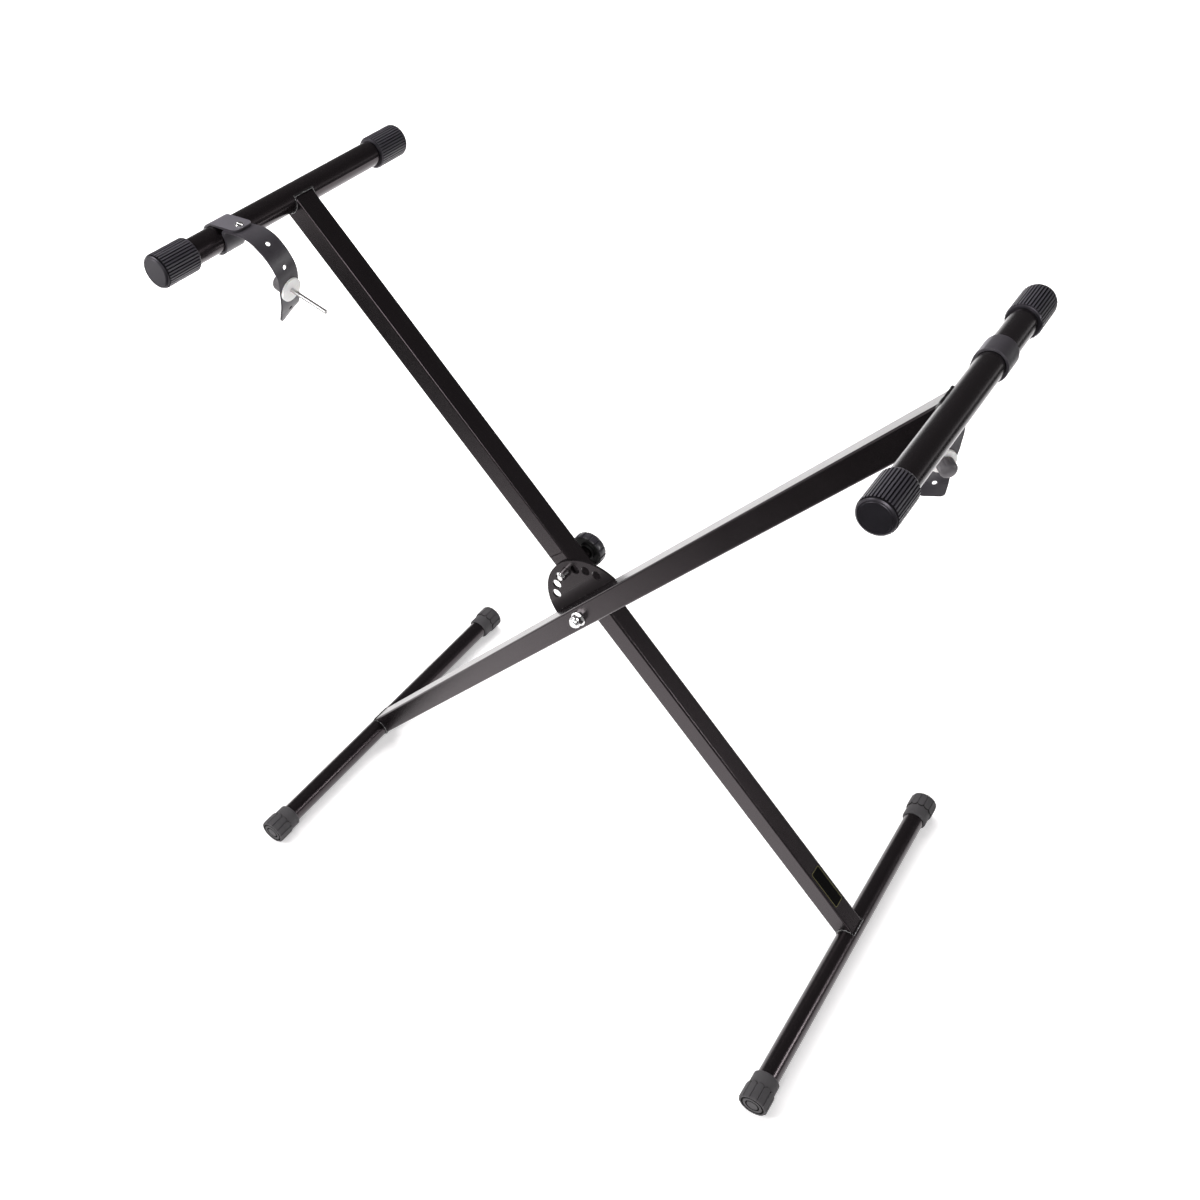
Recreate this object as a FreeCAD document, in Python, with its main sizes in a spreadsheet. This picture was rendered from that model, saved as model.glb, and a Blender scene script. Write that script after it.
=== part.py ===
# Single-X keyboard stand: crossed box-section legs, base and top tubes, a sprung lock pin and two straps.
# Millimetres. The origin is on the floor under the middle, X runs to the right, Y to the rear and Z up.
import FreeCAD, Part
import math
import os
import Sketcher

# Every size that can be set by itself. Names that end in angle are degrees, and in count are whole numbers.
SIZES = {
    # legs
    "leg_reach": 508.0,
    "leg_rise_angle": 47.0,
    "leg_side": 25.0,
    "leg_wall": 1.2,
    "leg_corner": 2.0,
    "leg_end_trim": 6.0,
    # round tubes
    "tube_diameter": 25.0,
    "tube_wall": 1.2,
    "base_tube_length": 476.0,
    "top_tube_length": 336.0,
    # rubber foot caps
    "foot_sleeve_diameter": 30.5,
    "foot_sleeve_length": 15.0,
    "foot_chamfer": 1.6,
    "foot_pad_across": 33.0,
    "foot_pad_length": 17.0,
    "foot_end_wall": 4.0,
    "foot_rim": 1.6,
    "foot_pad_count": 12,
    "foot_notch_width": 1.8,
    "foot_notch_depth": 1.3,
    "foot_ring_radius": 12.6,
    "foot_eye_radius": 7.4,
    "foot_ring_width": 1.5,
    "foot_ring_depth": 2.4,
    # ribbed grip caps
    "grip_diameter": 32.0,
    "grip_flute_length": 38.4,
    "grip_neck_length": 1.2,
    "grip_neck_depth": 1.2,
    "grip_flange_thickness": 2.4,
    "grip_flange_bevel": 1.0,
    "grip_end_wall": 3.0,
    "grip_flute_count": 36,
    "grip_flute_width": 1.5,
    "grip_flute_floor": 0.7,
    "grip_flute_depth": 0.8,
    # pivot
    "bolt_diameter": 8.0,
    "bolt_fit": 0.1,
    "pivot_gap": 0.3,
    "bolt_end": 1.0,
    "hex_across": 13.0,
    "bolt_head_height": 5.3,
    "nut_height": 6.5,
    "nut_collar_diameter": 11.4,
    "nut_collar_height": 3.0,
    "nut_collar_bevel": 0.9,
    "hex_bevel": 1.0,
    "washer_diameter": 17.0,
    "washer_thickness": 1.6,
    "sleeve_diameter": 12.0,
    "friction_washer_diameter": 22.0,
    "friction_washer_thickness": 0.5,
    # lock plate
    "plate_radius": 57.0,
    "plate_thickness": 2.5,
    "plate_foot": 10.0,
    "plate_corner": 5.0,
    "hole_circle_radius": 45.5,
    "hole_diameter": 11.0,
    "hole_step_angle": 17.4,
    "hole_count": 7,
    # lock pin and knob
    "pin_diameter": 10.0,
    "pin_fit": 0.1,
    "pin_tip_reach": 12.5,
    "pin_tip_taper": 3.0,
    "pin_tip_narrowing": 2.0,
    "pin_stem_diameter": 8.0,
    "pin_stem_length": 9.0,
    "guide_diameter": 16.0,
    "guide_length": 9.5,
    "guide_knob_gap": 0.5,
    "ring_diameter": 17.0,
    "ring_thickness": 1.5,
    "ring_gap": 0.3,
    "spring_diameter": 13.6,
    "spring_wire": 1.2,
    "spring_turn_count": 3,
    "spring_side_count": 6,
    "knob_diameter": 39.0,
    "knob_thickness": 12.0,
    "knob_bevel": 1.8,
    "knob_notch_count": 14,
    "knob_notch_width": 2.6,
    "knob_notch_depth": 1.0,
    # straps
    "strap_thickness": 2.2,
    "strap_width": 24.0,
    "strap_tube_fit": 0.3,
    "strap_layer_gap": 0.2,
    "strap_bend": 4.0,
    "strap_flap_length": 31.0,
    "strap_rivet_place": 24.0,
    "strap_hole_diameter": 4.6,
    "strap_hole_pitch": 25.0,
    "strap_hole_count": 4,
    "strap_screw_hole_count": 3,
    "strap_first_hole": 34.0,
    "strap_seat_length": 24.0,
    "strap_end_margin": 13.0,
    "strap_corner": 7.0,
    "strap_tip_corner": 4.0,
    "strap_lead": 12.0,
    "strap_step_count": 6,
    # the left strap's tail curls down, one bend and one twist to each stretch of it
    "left_strap_place": -84.2,
    "left_strap_turn_angle": 0.0,
    "left_strap_sway_angle": -7.0,
    "left_strap_bend_1_angle": 41.6,
    "left_strap_bend_2_angle": 36.3,
    "left_strap_bend_3_angle": 28.8,
    "left_strap_bend_4_angle": 0.0,
    "left_strap_bend_5_angle": 14.9,
    "left_strap_bend_6_angle": 8.0,
    "left_strap_twist_1_angle": -13.1,
    "left_strap_twist_2_angle": 1.3,
    "left_strap_twist_3_angle": 2.5,
    "left_strap_twist_4_angle": 0.0,
    "left_strap_twist_5_angle": 0.0,
    "left_strap_twist_6_angle": 12.0,
    # the right strap's tail hangs down and turns its face to the front
    "right_strap_place": 64.0,
    "right_strap_turn_angle": -81.2,
    "right_strap_sway_angle": 0.0,
    "right_strap_bend_1_angle": 9.1,
    "right_strap_bend_2_angle": -12.2,
    "right_strap_bend_3_angle": 4.9,
    "right_strap_bend_4_angle": 0.0,
    "right_strap_bend_5_angle": 11.0,
    "right_strap_bend_6_angle": 5.7,
    "right_strap_twist_1_angle": 4.5,
    "right_strap_twist_2_angle": 30.1,
    "right_strap_twist_3_angle": 11.3,
    "right_strap_twist_4_angle": 0.0,
    "right_strap_twist_5_angle": 16.0,
    "right_strap_twist_6_angle": -7.4,
    # rivets and thumbscrews
    "rivet_diameter": 4.0,
    "rivet_head_diameter": 8.4,
    "rivet_head_height": 1.4,
    "rivet_slot_width": 1.2,
    "rivet_slot_depth": 0.7,
    "screw_diameter": 4.0,
    "screw_reach": 47.0,
    "screw_tip_bevel": 0.6,
    "screw_washer_diameter": 24.0,
    "screw_washer_thickness": 2.0,
    "seat_gap": 0.3,
    "thumb_diameter": 16.0,
    "thumb_collar_diameter": 12.0,
    "thumb_collar_length": 2.5,
    "thumb_grip_length": 8.0,
    "thumb_dome_height": 5.0,
    "thumb_shoulder_share": 0.85,
    "thumb_rise_share": 0.55,
    "thumb_crown_share": 0.45,
    "thumb_flute_count": 12,
    "thumb_flute_width": 1.6,
    "thumb_flute_depth": 0.7,
    # how far a cut runs past what it cuts
    "overrun": 5.0,
}

doc = FreeCAD.newDocument("keyboard_stand")
sheet = doc.addObject("Spreadsheet::Sheet", "Sizes")
for row, (alias, number) in enumerate(SIZES.items(), 1):
    sheet.set(f"A{row}", alias)
    sheet.set(f"B{row}", str(number))
    sheet.setAlias(f"B{row}", alias)
doc.recompute()

X_AXIS = FreeCAD.Vector(1, 0, 0)
Y_AXIS = FreeCAD.Vector(0, 1, 0)
Z_AXIS = FreeCAD.Vector(0, 0, 1)
TO_REAR = FreeCAD.Rotation(X_AXIS, -90)
TO_FRONT = FreeCAD.Rotation(X_AXIS, 90)
nodes = []


def value(expression):
    """The number that an expression on the sheet gives."""
    result = sheet.evalExpression(expression)
    return float(getattr(result, "Value", result))


def bind(obj, **expressions):
    """Ties properties of an object to the sheet."""
    for name, expression in expressions.items():
        obj.setExpression(name, expression)


def finish(obj, label, base, rotation=FreeCAD.Rotation()):
    """Names a sub-part, puts it in its place and lists it for export."""
    obj.Label = label
    obj.Placement = FreeCAD.Placement(FreeCAD.Vector(*base), rotation)
    nodes.append(obj)
    return obj


def origin_feature(body, role):
    """One of a body's own origin planes or axes."""
    return next(feature for feature in body.Origin.OriginFeatures if feature.Role == role)


def new_sketch(body, plane, name, height=None):
    """A sketch on one of the body's origin planes, raised by a height where one is given."""
    sketch = body.newObject("Sketcher::SketchObject", name)
    sketch.AttachmentSupport = [(origin_feature(body, plane), "")]
    sketch.MapMode = "FlatFace"
    if height:
        sketch.setExpression(".AttachmentOffset.Base.z", height)
    return sketch


def hold(sketch, key, constraint, expression):
    """Adds a named constraint and ties it to the sheet."""
    index = sketch.addConstraint(constraint)
    sketch.renameConstraint(index, key)
    sketch.setExpression("Constraints." + key, expression)


def fix_point(sketch, key, edge, end, across, up):
    """Holds an end or centre of an edge at a distance across and up from the sketch's origin."""
    for direction, axis, expression in (("X", -2, across), ("Y", -1, up)):
        distance = value(expression)
        if distance == 0:
            sketch.addConstraint(Sketcher.Constraint("PointOnObject", edge, end, axis))
        else:
            rule = Sketcher.Constraint("Distance" + direction, -1, 1, edge, end, distance)
            hold(sketch, f"{key}_{direction}", rule, expression)


def draw_circle(sketch, key, diameter, across="0", up="0"):
    """A circle whose diameter and centre follow the sheet."""
    centre = FreeCAD.Vector(value(across), value(up), 0)
    edge = sketch.addGeometry(Part.Circle(centre, Z_AXIS, value(diameter) / 2), False)
    hold(sketch, key, Sketcher.Constraint("Diameter", edge, value(diameter)), diameter)
    fix_point(sketch, key + "_centre", edge, 3, across, up)


def draw_outline(sketch, points):
    """A closed outline of straight edges whose corners follow the sheet."""
    corners = [FreeCAD.Vector(value(across), value(up), 0) for across, up in points]
    for index, corner in enumerate(corners):
        sketch.addGeometry(Part.LineSegment(corner, corners[(index + 1) % len(corners)]), False)
    for index in range(len(corners)):
        after = (index + 1) % len(corners)
        sketch.addConstraint(Sketcher.Constraint("Coincident", index, 2, after, 1))
    for index, (across, up) in enumerate(points):
        fix_point(sketch, f"corner_{index}", index, 1, across, up)


def rectangle(low_across, low_up, high_across, high_up):
    """The corners of a rectangle."""
    return [(low_across, low_up), (high_across, low_up), (high_across, high_up), (low_across, high_up)]


def pad(body, sketch, name, length, symmetric=False):
    """Raises a sketch into a solid."""
    feature = body.newObject("PartDesign::Pad", name)
    feature.Profile = sketch
    if symmetric:
        feature.SideType = "Symmetric"
    bind(feature, Length=length)
    doc.recompute()
    return feature


def pocket(body, sketch, name, length, reverse=False, symmetric=False):
    """Cuts a sketch into the solid, and stops if nothing was cut."""
    before = body.Shape.Volume
    feature = body.newObject("PartDesign::Pocket", name)
    feature.Profile = sketch
    feature.Reversed = reverse
    if symmetric:
        feature.SideType = "Symmetric"
    bind(feature, Length=length)
    doc.recompute()
    if not body.Shape.Volume < before:
        raise ValueError(f"{body.Label}: {name} cuts nothing")
    return feature


def revolve(body, sketch, name):
    """Turns a half section about the body's Z axis."""
    feature = body.newObject("PartDesign::Revolution", name)
    feature.Profile = sketch
    feature.ReferenceAxis = (origin_feature(body, "Z_Axis"), [""])
    feature.Angle = 360
    doc.recompute()
    return feature


def repeat_round(body, feature, name, count):
    """Repeats a feature evenly about the body's Z axis."""
    pattern = body.newObject("PartDesign::PolarPattern", name)
    pattern.Originals = [feature]
    pattern.Axis = (origin_feature(body, "Z_Axis"), [""])
    pattern.Angle = 360
    bind(pattern, Occurrences=count)
    body.Tip = pattern
    doc.recompute()
    return pattern


def soften(body, feature, name, kind, size, test):
    """Fillets or chamfers the edges of a feature that pass a test."""
    edges = [f"Edge{number}" for number, edge in enumerate(feature.Shape.Edges, 1) if test(edge)]
    softened = body.newObject("PartDesign::" + kind, name)
    softened.Base = (feature, edges)
    bind(softened, **{"Radius" if kind == "Fillet" else "Size": size})
    doc.recompute()
    return softened


def runs_along(axis):
    """A test for straight edges along an axis."""
    def test(edge):
        if edge.Curve.TypeId != "Part::GeomLine":
            return False
        return abs(edge.Curve.Direction.dot(axis)) > math.cos(math.radians(1))
    return test


def rings_at(height):
    """A test for round edges at a height on the Z axis."""
    def test(edge):
        if edge.Curve.TypeId != "Part::GeomCircle":
            return False
        return math.isclose(edge.Curve.Center.z, height, abs_tol=1e-6)
    return test


def ring_cut(body, name, radius, width, depth, height):
    """An annular groove cut down into the face at a height."""
    sketch = new_sketch(body, "XY_Plane", name + "_sketch", height)
    draw_circle(sketch, "outside", f"2 * ({radius} + {width})")
    draw_circle(sketch, "inside", f"2 * {radius}")
    return pocket(body, sketch, name, depth)


# Heights and places that follow from the sizes.
foot_radius = value("foot_pad_across / 2")
rise_angle = value("leg_rise_angle")
reach = value("leg_reach")
half_span = reach * math.cos(math.radians(rise_angle))
half_rise = reach * math.sin(math.radians(rise_angle))
pivot_height = foot_radius + half_rise
top_height = foot_radius + 2 * half_rise
leg_gap = value("plate_thickness + friction_washer_thickness + pivot_gap")
leg_offset = leg_gap / 2 + value("leg_side / 2")
leg_outside = leg_gap / 2 + value("leg_side")
base_cap_place = value("base_tube_length / 2 - foot_sleeve_length - foot_pad_length")
top_cap_place = value("top_tube_length / 2") - value("grip_flute_length + grip_neck_length")
top_cap_place += value("grip_end_wall - grip_flange_thickness")
FRONT_LEG_TURN = FreeCAD.Rotation(Y_AXIS, -rise_angle)
REAR_LEG_TURN = FreeCAD.Rotation(Y_AXIS, rise_angle - 180)


# Round tube, welded across the end of a leg.
def make_tube(label, length, base):
    body = doc.addObject("PartDesign::Body", label)
    sketch = new_sketch(body, "XZ_Plane", label + "_section")
    draw_circle(sketch, "outside", "Sizes.tube_diameter")
    draw_circle(sketch, "inside", "Sizes.tube_diameter - 2 * Sizes.tube_wall")
    pad(body, sketch, label + "_length", length, symmetric=True)
    finish(body, label, base)


make_tube("base_tube_left", "Sizes.base_tube_length", (-half_span, 0, foot_radius))
make_tube("base_tube_right", "Sizes.base_tube_length", (half_span, 0, foot_radius))
make_tube("top_tube_left", "Sizes.top_tube_length", (-half_span, 0, top_height))
make_tube("top_tube_right", "Sizes.top_tube_length", (half_span, 0, top_height))


# Leg: square tube with saddle-cut ends that seat on the round tubes, and a hole for the pivot sleeve.
# The rear leg has two more holes, for the lock pin and its guide.
def make_leg(label, base, rotation, has_lock):
    body = doc.addObject("PartDesign::Body", label)
    outside = new_sketch(body, "YZ_Plane", label + "_outside")
    half = "Sizes.leg_side / 2"
    draw_outline(outside, rectangle(f"-{half}", f"-{half}", half, half))
    bar = pad(body, outside, label + "_bar", "2 * (Sizes.leg_reach - Sizes.leg_end_trim)", symmetric=True)
    soften(body, bar, label + "_corners", "Fillet", "Sizes.leg_corner", runs_along(X_AXIS))
    inside = new_sketch(body, "YZ_Plane", label + "_inside")
    inner = "(Sizes.leg_side / 2 - Sizes.leg_wall)"
    draw_outline(inside, rectangle(f"-{inner}", f"-{inner}", inner, inner))
    pocket(body, inside, label + "_bore", "2 * Sizes.leg_reach", symmetric=True)
    across = "Sizes.leg_side + 2 * Sizes.overrun"
    saddles = new_sketch(body, "XZ_Plane", label + "_saddles")
    draw_circle(saddles, "low", "Sizes.tube_diameter", "-Sizes.leg_reach")
    draw_circle(saddles, "high", "Sizes.tube_diameter", "Sizes.leg_reach")
    pocket(body, saddles, label + "_saddle_cuts", across, symmetric=True)
    eye = new_sketch(body, "XZ_Plane", label + "_eye")
    draw_circle(eye, "sleeve", "Sizes.sleeve_diameter")
    pocket(body, eye, label + "_eye_cut", across, symmetric=True)
    if has_lock:
        front = new_sketch(body, "XZ_Plane", label + "_pin_hole")
        draw_circle(front, "pin", "Sizes.pin_diameter + 2 * Sizes.pin_fit", "Sizes.hole_circle_radius")
        pocket(body, front, label + "_pin_cut", across, reverse=True)
        rear = new_sketch(body, "XZ_Plane", label + "_guide_hole")
        draw_circle(rear, "guide", "Sizes.pin_diameter + 2 * Sizes.pin_fit", "Sizes.hole_circle_radius")
        pocket(body, rear, label + "_guide_cut", across)
    finish(body, label, base, rotation)


make_leg("leg_front", (0, -leg_offset, pivot_height), FRONT_LEG_TURN, has_lock=False)
make_leg("leg_rear", (0, leg_offset, pivot_height), REAR_LEG_TURN, has_lock=True)


# Rubber foot cap: a smooth sleeve over the tube and a twelve-sided part with notches between its flats.
# One flat rests on the floor. The closed end has two moulded rings round a middle eye.
def make_foot_cap(label, base, rotation):
    body = doc.addObject("PartDesign::Body", label)
    sleeve = new_sketch(body, "XY_Plane", label + "_sleeve_sketch")
    draw_circle(sleeve, "outside", "Sizes.foot_sleeve_diameter")
    sleeve_pad = pad(body, sleeve, label + "_sleeve", "Sizes.foot_sleeve_length")
    soften(body, sleeve_pad, label + "_lip", "Chamfer", "Sizes.foot_chamfer", rings_at(0))
    height = "Sizes.foot_sleeve_length"
    pads = new_sketch(body, "XY_Plane", label + "_pads_sketch", height)
    step = "360 deg / Sizes.foot_pad_count"
    corner = f"Sizes.foot_pad_across / 2 / cos({step} / 2)"
    count = int(value("foot_pad_count"))
    turns = [f"({step} * ({number} + 0.5))" for number in range(count)]
    draw_outline(pads, [(f"{corner} * cos({turn})", f"{corner} * sin({turn})") for turn in turns])
    pads_length = "Sizes.foot_pad_length + Sizes.foot_end_wall"
    pads_pad = pad(body, pads, label + "_pads", pads_length)
    total = f"Sizes.foot_sleeve_length + {pads_length}"
    top = value(total)
    at_end = lambda edge: all(math.isclose(vertex.Z, top, abs_tol=1e-6) for vertex in edge.Vertexes)
    soften(body, pads_pad, label + "_rim", "Chamfer", "Sizes.foot_rim", at_end)
    bore = new_sketch(body, "XY_Plane", label + "_bore_sketch")
    draw_circle(bore, "tube", "Sizes.tube_diameter")
    pocket(body, bore, label + "_bore", "Sizes.foot_sleeve_length + Sizes.foot_pad_length", reverse=True)
    for name, radius in (("_ring", "Sizes.foot_ring_radius"), ("_eye", "Sizes.foot_eye_radius")):
        ring_cut(body, label + name, radius, "Sizes.foot_ring_width", "Sizes.foot_ring_depth", total)
    notch = new_sketch(body, "XY_Plane", label + "_notch_sketch", height)
    floor = f"({corner} - Sizes.foot_notch_depth)"
    outer = f"({corner} + Sizes.overrun)"
    half = "Sizes.foot_notch_width / 2"
    reach_points = rectangle(floor, f"-{half}", outer, half)
    draw_outline(notch, reach_points)
    notch.setExpression(".AttachmentOffset.Rotation.Angle", f"{step} / 2")
    notch_cut = pocket(body, notch, label + "_notch", "Sizes.foot_pad_length", reverse=True)
    repeat_round(body, notch_cut, label + "_notches", "Sizes.foot_pad_count")
    finish(body, label, base, rotation)


for side, middle in (("left", -half_span), ("right", half_span)):
    make_foot_cap(f"foot_cap_{side}_front", (middle, -base_cap_place, foot_radius), TO_FRONT)
    make_foot_cap(f"foot_cap_{side}_rear", (middle, base_cap_place, foot_radius), TO_REAR)


# Grip cap: a fluted sleeve over the top tube, with a smooth bevelled end disc behind a narrow neck.
def make_grip_cap(label, base, rotation):
    body = doc.addObject("PartDesign::Body", label)
    section = new_sketch(body, "XZ_Plane", label + "_section")
    outside = "Sizes.grip_diameter / 2"
    neck = f"({outside} - Sizes.grip_neck_depth)"
    rim = f"({outside} - Sizes.grip_flange_bevel)"
    bore = "Sizes.tube_diameter / 2"
    flutes = "Sizes.grip_flute_length"
    disc = f"({flutes} + Sizes.grip_neck_length)"
    end = f"({disc} + Sizes.grip_flange_thickness)"
    draw_outline(section, [
        (bore, "0"),
        (outside, "0"),
        (outside, flutes),
        (neck, flutes),
        (neck, disc),
        (outside, disc),
        (outside, f"{end} - Sizes.grip_flange_bevel"),
        (rim, end),
        ("0", end),
        ("0", f"{end} - Sizes.grip_end_wall"),
        (bore, f"{end} - Sizes.grip_end_wall"),
    ])
    revolve(body, section, label + "_body")
    flute = new_sketch(body, "XY_Plane", label + "_flute_sketch")
    floor = f"({outside} - Sizes.grip_flute_depth)"
    mouth = "Sizes.grip_flute_width / 2"
    narrow = "Sizes.grip_flute_floor / 2"
    draw_outline(flute, [
        (floor, f"-{narrow}"),
        (outside, f"-{mouth}"),
        (f"{outside} + Sizes.overrun", f"-{mouth}"),
        (f"{outside} + Sizes.overrun", mouth),
        (outside, mouth),
        (floor, narrow),
    ])
    flute_cut = pocket(body, flute, label + "_flute", "Sizes.grip_flute_length", reverse=True)
    repeat_round(body, flute_cut, label + "_flutes", "Sizes.grip_flute_count")
    finish(body, label, base, rotation)


for side, middle in (("left", -half_span), ("right", half_span)):
    make_grip_cap(f"grip_cap_{side}_front", (middle, -top_cap_place, top_height), TO_FRONT)
    make_grip_cap(f"grip_cap_{side}_rear", (middle, top_cap_place, top_height), TO_REAR)


# Lock plate: a half disc welded to the front leg's rear face, with a row of holes for the lock pin.
# Its own X runs along the front leg, and the middle hole lies on the rear leg's centre line at rest.
def make_lock_plate(label):
    body = doc.addObject("PartDesign::Body", label)
    disc = new_sketch(body, "XZ_Plane", label + "_disc_sketch")
    draw_circle(disc, "disc", "2 * Sizes.plate_radius")
    disc_pad = pad(body, disc, label + "_disc", "Sizes.plate_thickness", symmetric=True)
    below = new_sketch(body, "XZ_Plane", label + "_chord_sketch")
    wide = "(Sizes.plate_radius + Sizes.overrun)"
    draw_outline(below, rectangle(f"-{wide}", f"-{wide}", wide, "-Sizes.plate_foot"))
    chord = pocket(body, below, label + "_chord", "Sizes.plate_thickness + Sizes.overrun", symmetric=True)
    soften(body, chord, label + "_corners", "Fillet", "Sizes.plate_corner", runs_along(Y_AXIS))
    pivot = new_sketch(body, "XZ_Plane", label + "_pivot_sketch")
    draw_circle(pivot, "bolt", "Sizes.bolt_diameter + 2 * Sizes.bolt_fit")
    through = "Sizes.plate_thickness + Sizes.overrun"
    pocket(body, pivot, label + "_pivot_hole", through, symmetric=True)
    holes = new_sketch(body, "XZ_Plane", label + "_holes_sketch")
    count = int(value("hole_count"))
    middle_turn = "180 deg - 2 deg * Sizes.leg_rise_angle"
    for number in range(count):
        from_middle = number - (count - 1) / 2
        turn = f"({middle_turn} + 1 deg * Sizes.hole_step_angle * {from_middle})"
        across = f"Sizes.hole_circle_radius * cos({turn})"
        up = f"Sizes.hole_circle_radius * sin({turn})"
        draw_circle(holes, f"hole_{number}", "Sizes.hole_diameter", across, up)
    pocket(body, holes, label + "_holes", through, symmetric=True)
    middle = -leg_gap / 2 + value("plate_thickness / 2")
    finish(body, label, (0, middle, pivot_height), FRONT_LEG_TURN)


make_lock_plate("lock_plate")


# Flat ring, used for washers and for the sleeves that keep the pivot bolt from crushing the legs.
def make_ring(label, diameter, bore, thickness, base, rotation=TO_REAR):
    outside = doc.addObject("Part::Cylinder", label + "_outside")
    bind(outside, Radius=f"{diameter} / 2", Height=thickness)
    hole = doc.addObject("Part::Cylinder", label + "_hole")
    bind(hole, Radius=f"{bore} / 2", Height=f"{thickness} + 2 * Sizes.overrun")
    hole.setExpression(".Placement.Base.z", "-Sizes.overrun")
    ring = doc.addObject("Part::Cut", label)
    ring.Base = outside
    ring.Tool = hole
    doc.recompute()
    return finish(ring, label, base, rotation)


bolt_bore = "(Sizes.bolt_diameter + 2 * Sizes.bolt_fit)"
washer = value("washer_thickness")
make_ring("pivot_sleeve_front", "Sizes.sleeve_diameter", bolt_bore, "Sizes.leg_side",
          (0, -leg_outside, pivot_height))
make_ring("pivot_sleeve_rear", "Sizes.sleeve_diameter", bolt_bore, "Sizes.leg_side",
          (0, leg_gap / 2, pivot_height))
make_ring("pivot_washer_front", "Sizes.washer_diameter", bolt_bore, "Sizes.washer_thickness",
          (0, -leg_outside - washer, pivot_height))
make_ring("pivot_washer_rear", "Sizes.washer_diameter", bolt_bore, "Sizes.washer_thickness",
          (0, leg_outside + value("pivot_gap"), pivot_height))
make_ring("friction_washer", "Sizes.friction_washer_diameter", bolt_bore, "Sizes.friction_washer_thickness",
          (0, value("plate_thickness") - leg_gap / 2, pivot_height))


# Hexagon with its outer corners bevelled, as on a nut or a bolt head.
def make_hexagon(name, height):
    prism = doc.addObject("Part::Prism", name + "_prism")
    prism.Polygon = 6
    bind(prism, Circumradius="Sizes.hex_across / 2 / cos(30 deg)", Height=height)
    turned = doc.addObject("Part::Cylinder", name + "_turned")
    bind(turned, Radius="Sizes.hex_across / 2 / cos(30 deg)", Height=height)
    doc.recompute()
    top = value(height)
    edges = [number for number, edge in enumerate(turned.Shape.Edges, 1) if rings_at(top)(edge)]
    bevel = doc.addObject("Part::Chamfer", name + "_bevel")
    bevel.Base = turned
    size = value("hex_bevel")
    bevel.Edges = [(number, size, size) for number in edges]
    hexagon = doc.addObject("Part::Common", name + "_hexagon")
    hexagon.Base = prism
    hexagon.Tool = bevel
    doc.recompute()
    return hexagon


# Pivot bolt: its head is behind the rear leg and its end stands out of the nut in front.
def make_pivot_bolt(label):
    head = make_hexagon(label, "Sizes.bolt_head_height")
    shank = doc.addObject("Part::Cylinder", label + "_shank")
    grip = "(2 * Sizes.leg_side + Sizes.plate_thickness + Sizes.friction_washer_thickness"
    grip += " + 2 * Sizes.pivot_gap + 2 * Sizes.washer_thickness"
    grip += " + Sizes.nut_height + Sizes.nut_collar_height + Sizes.bolt_end)"
    bind(shank, Radius="Sizes.bolt_diameter / 2", Height=grip)
    shank.setExpression(".Placement.Base.z", "-" + grip)
    bolt = doc.addObject("Part::Fuse", label)
    bolt.Base = head
    bolt.Tool = shank
    doc.recompute()
    finish(bolt, label, (0, leg_outside + value("pivot_gap") + washer, pivot_height), TO_REAR)


# Pivot nut: a lock nut, with a round collar on its hexagon.
def make_pivot_nut(label):
    hexagon = make_hexagon(label, "Sizes.nut_height")
    total = "Sizes.nut_height + Sizes.nut_collar_height"
    collar = doc.addObject("Part::Cylinder", label + "_collar")
    bind(collar, Radius="Sizes.nut_collar_diameter / 2", Height=total)
    doc.recompute()
    rim = [number for number, edge in enumerate(collar.Shape.Edges, 1) if rings_at(value(total))(edge)]
    bevelled = doc.addObject("Part::Chamfer", label + "_bevelled")
    bevelled.Base = collar
    size = value("nut_collar_bevel")
    bevelled.Edges = [(number, size, size) for number in rim]
    body = doc.addObject("Part::Fuse", label + "_body")
    body.Base = hexagon
    body.Tool = bevelled
    hole = doc.addObject("Part::Cylinder", label + "_hole")
    bind(hole, Radius="Sizes.bolt_diameter / 2", Height=f"{total} + 2 * Sizes.overrun")
    hole.setExpression(".Placement.Base.z", "-Sizes.overrun")
    nut = doc.addObject("Part::Cut", label)
    nut.Base = body
    nut.Tool = hole
    doc.recompute()
    finish(nut, label, (0, -leg_outside - washer, pivot_height), TO_FRONT)


make_pivot_bolt("pivot_bolt")
make_pivot_nut("pivot_nut")

# The lock's axis crosses the rear leg at the middle hole of the plate.
lock_turn = math.radians(180 - rise_angle)
lock_x = value("hole_circle_radius") * math.cos(lock_turn)
lock_z = pivot_height + value("hole_circle_radius") * math.sin(lock_turn)
wall = value("leg_wall")
pin_front = -leg_gap / 2 - value("pin_tip_reach")
knob_front = leg_outside + value("guide_length + guide_knob_gap")


# Lock pin: a steel plunger with a tapered tip, its thinner stem pressed into the knob.
def make_lock_pin(label):
    body = doc.addObject("PartDesign::Body", label)
    section = new_sketch(body, "XZ_Plane", label + "_section")
    radius = "Sizes.pin_diameter / 2"
    shoulder = "(Sizes.pin_tip_reach + Sizes.plate_thickness + Sizes.friction_washer_thickness"
    shoulder += " + Sizes.pivot_gap + Sizes.leg_side + Sizes.guide_length + Sizes.guide_knob_gap)"
    stem = "Sizes.pin_stem_diameter / 2"
    draw_outline(section, [
        ("0", "0"),
        (f"{radius} - Sizes.pin_tip_narrowing", "0"),
        (radius, "Sizes.pin_tip_taper"),
        (radius, shoulder),
        (stem, shoulder),
        (stem, f"{shoulder} + Sizes.pin_stem_length"),
        ("0", f"{shoulder} + Sizes.pin_stem_length"),
    ])
    revolve(body, section, label + "_body")
    finish(body, label, (lock_x, pin_front, lock_z), TO_REAR)


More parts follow.
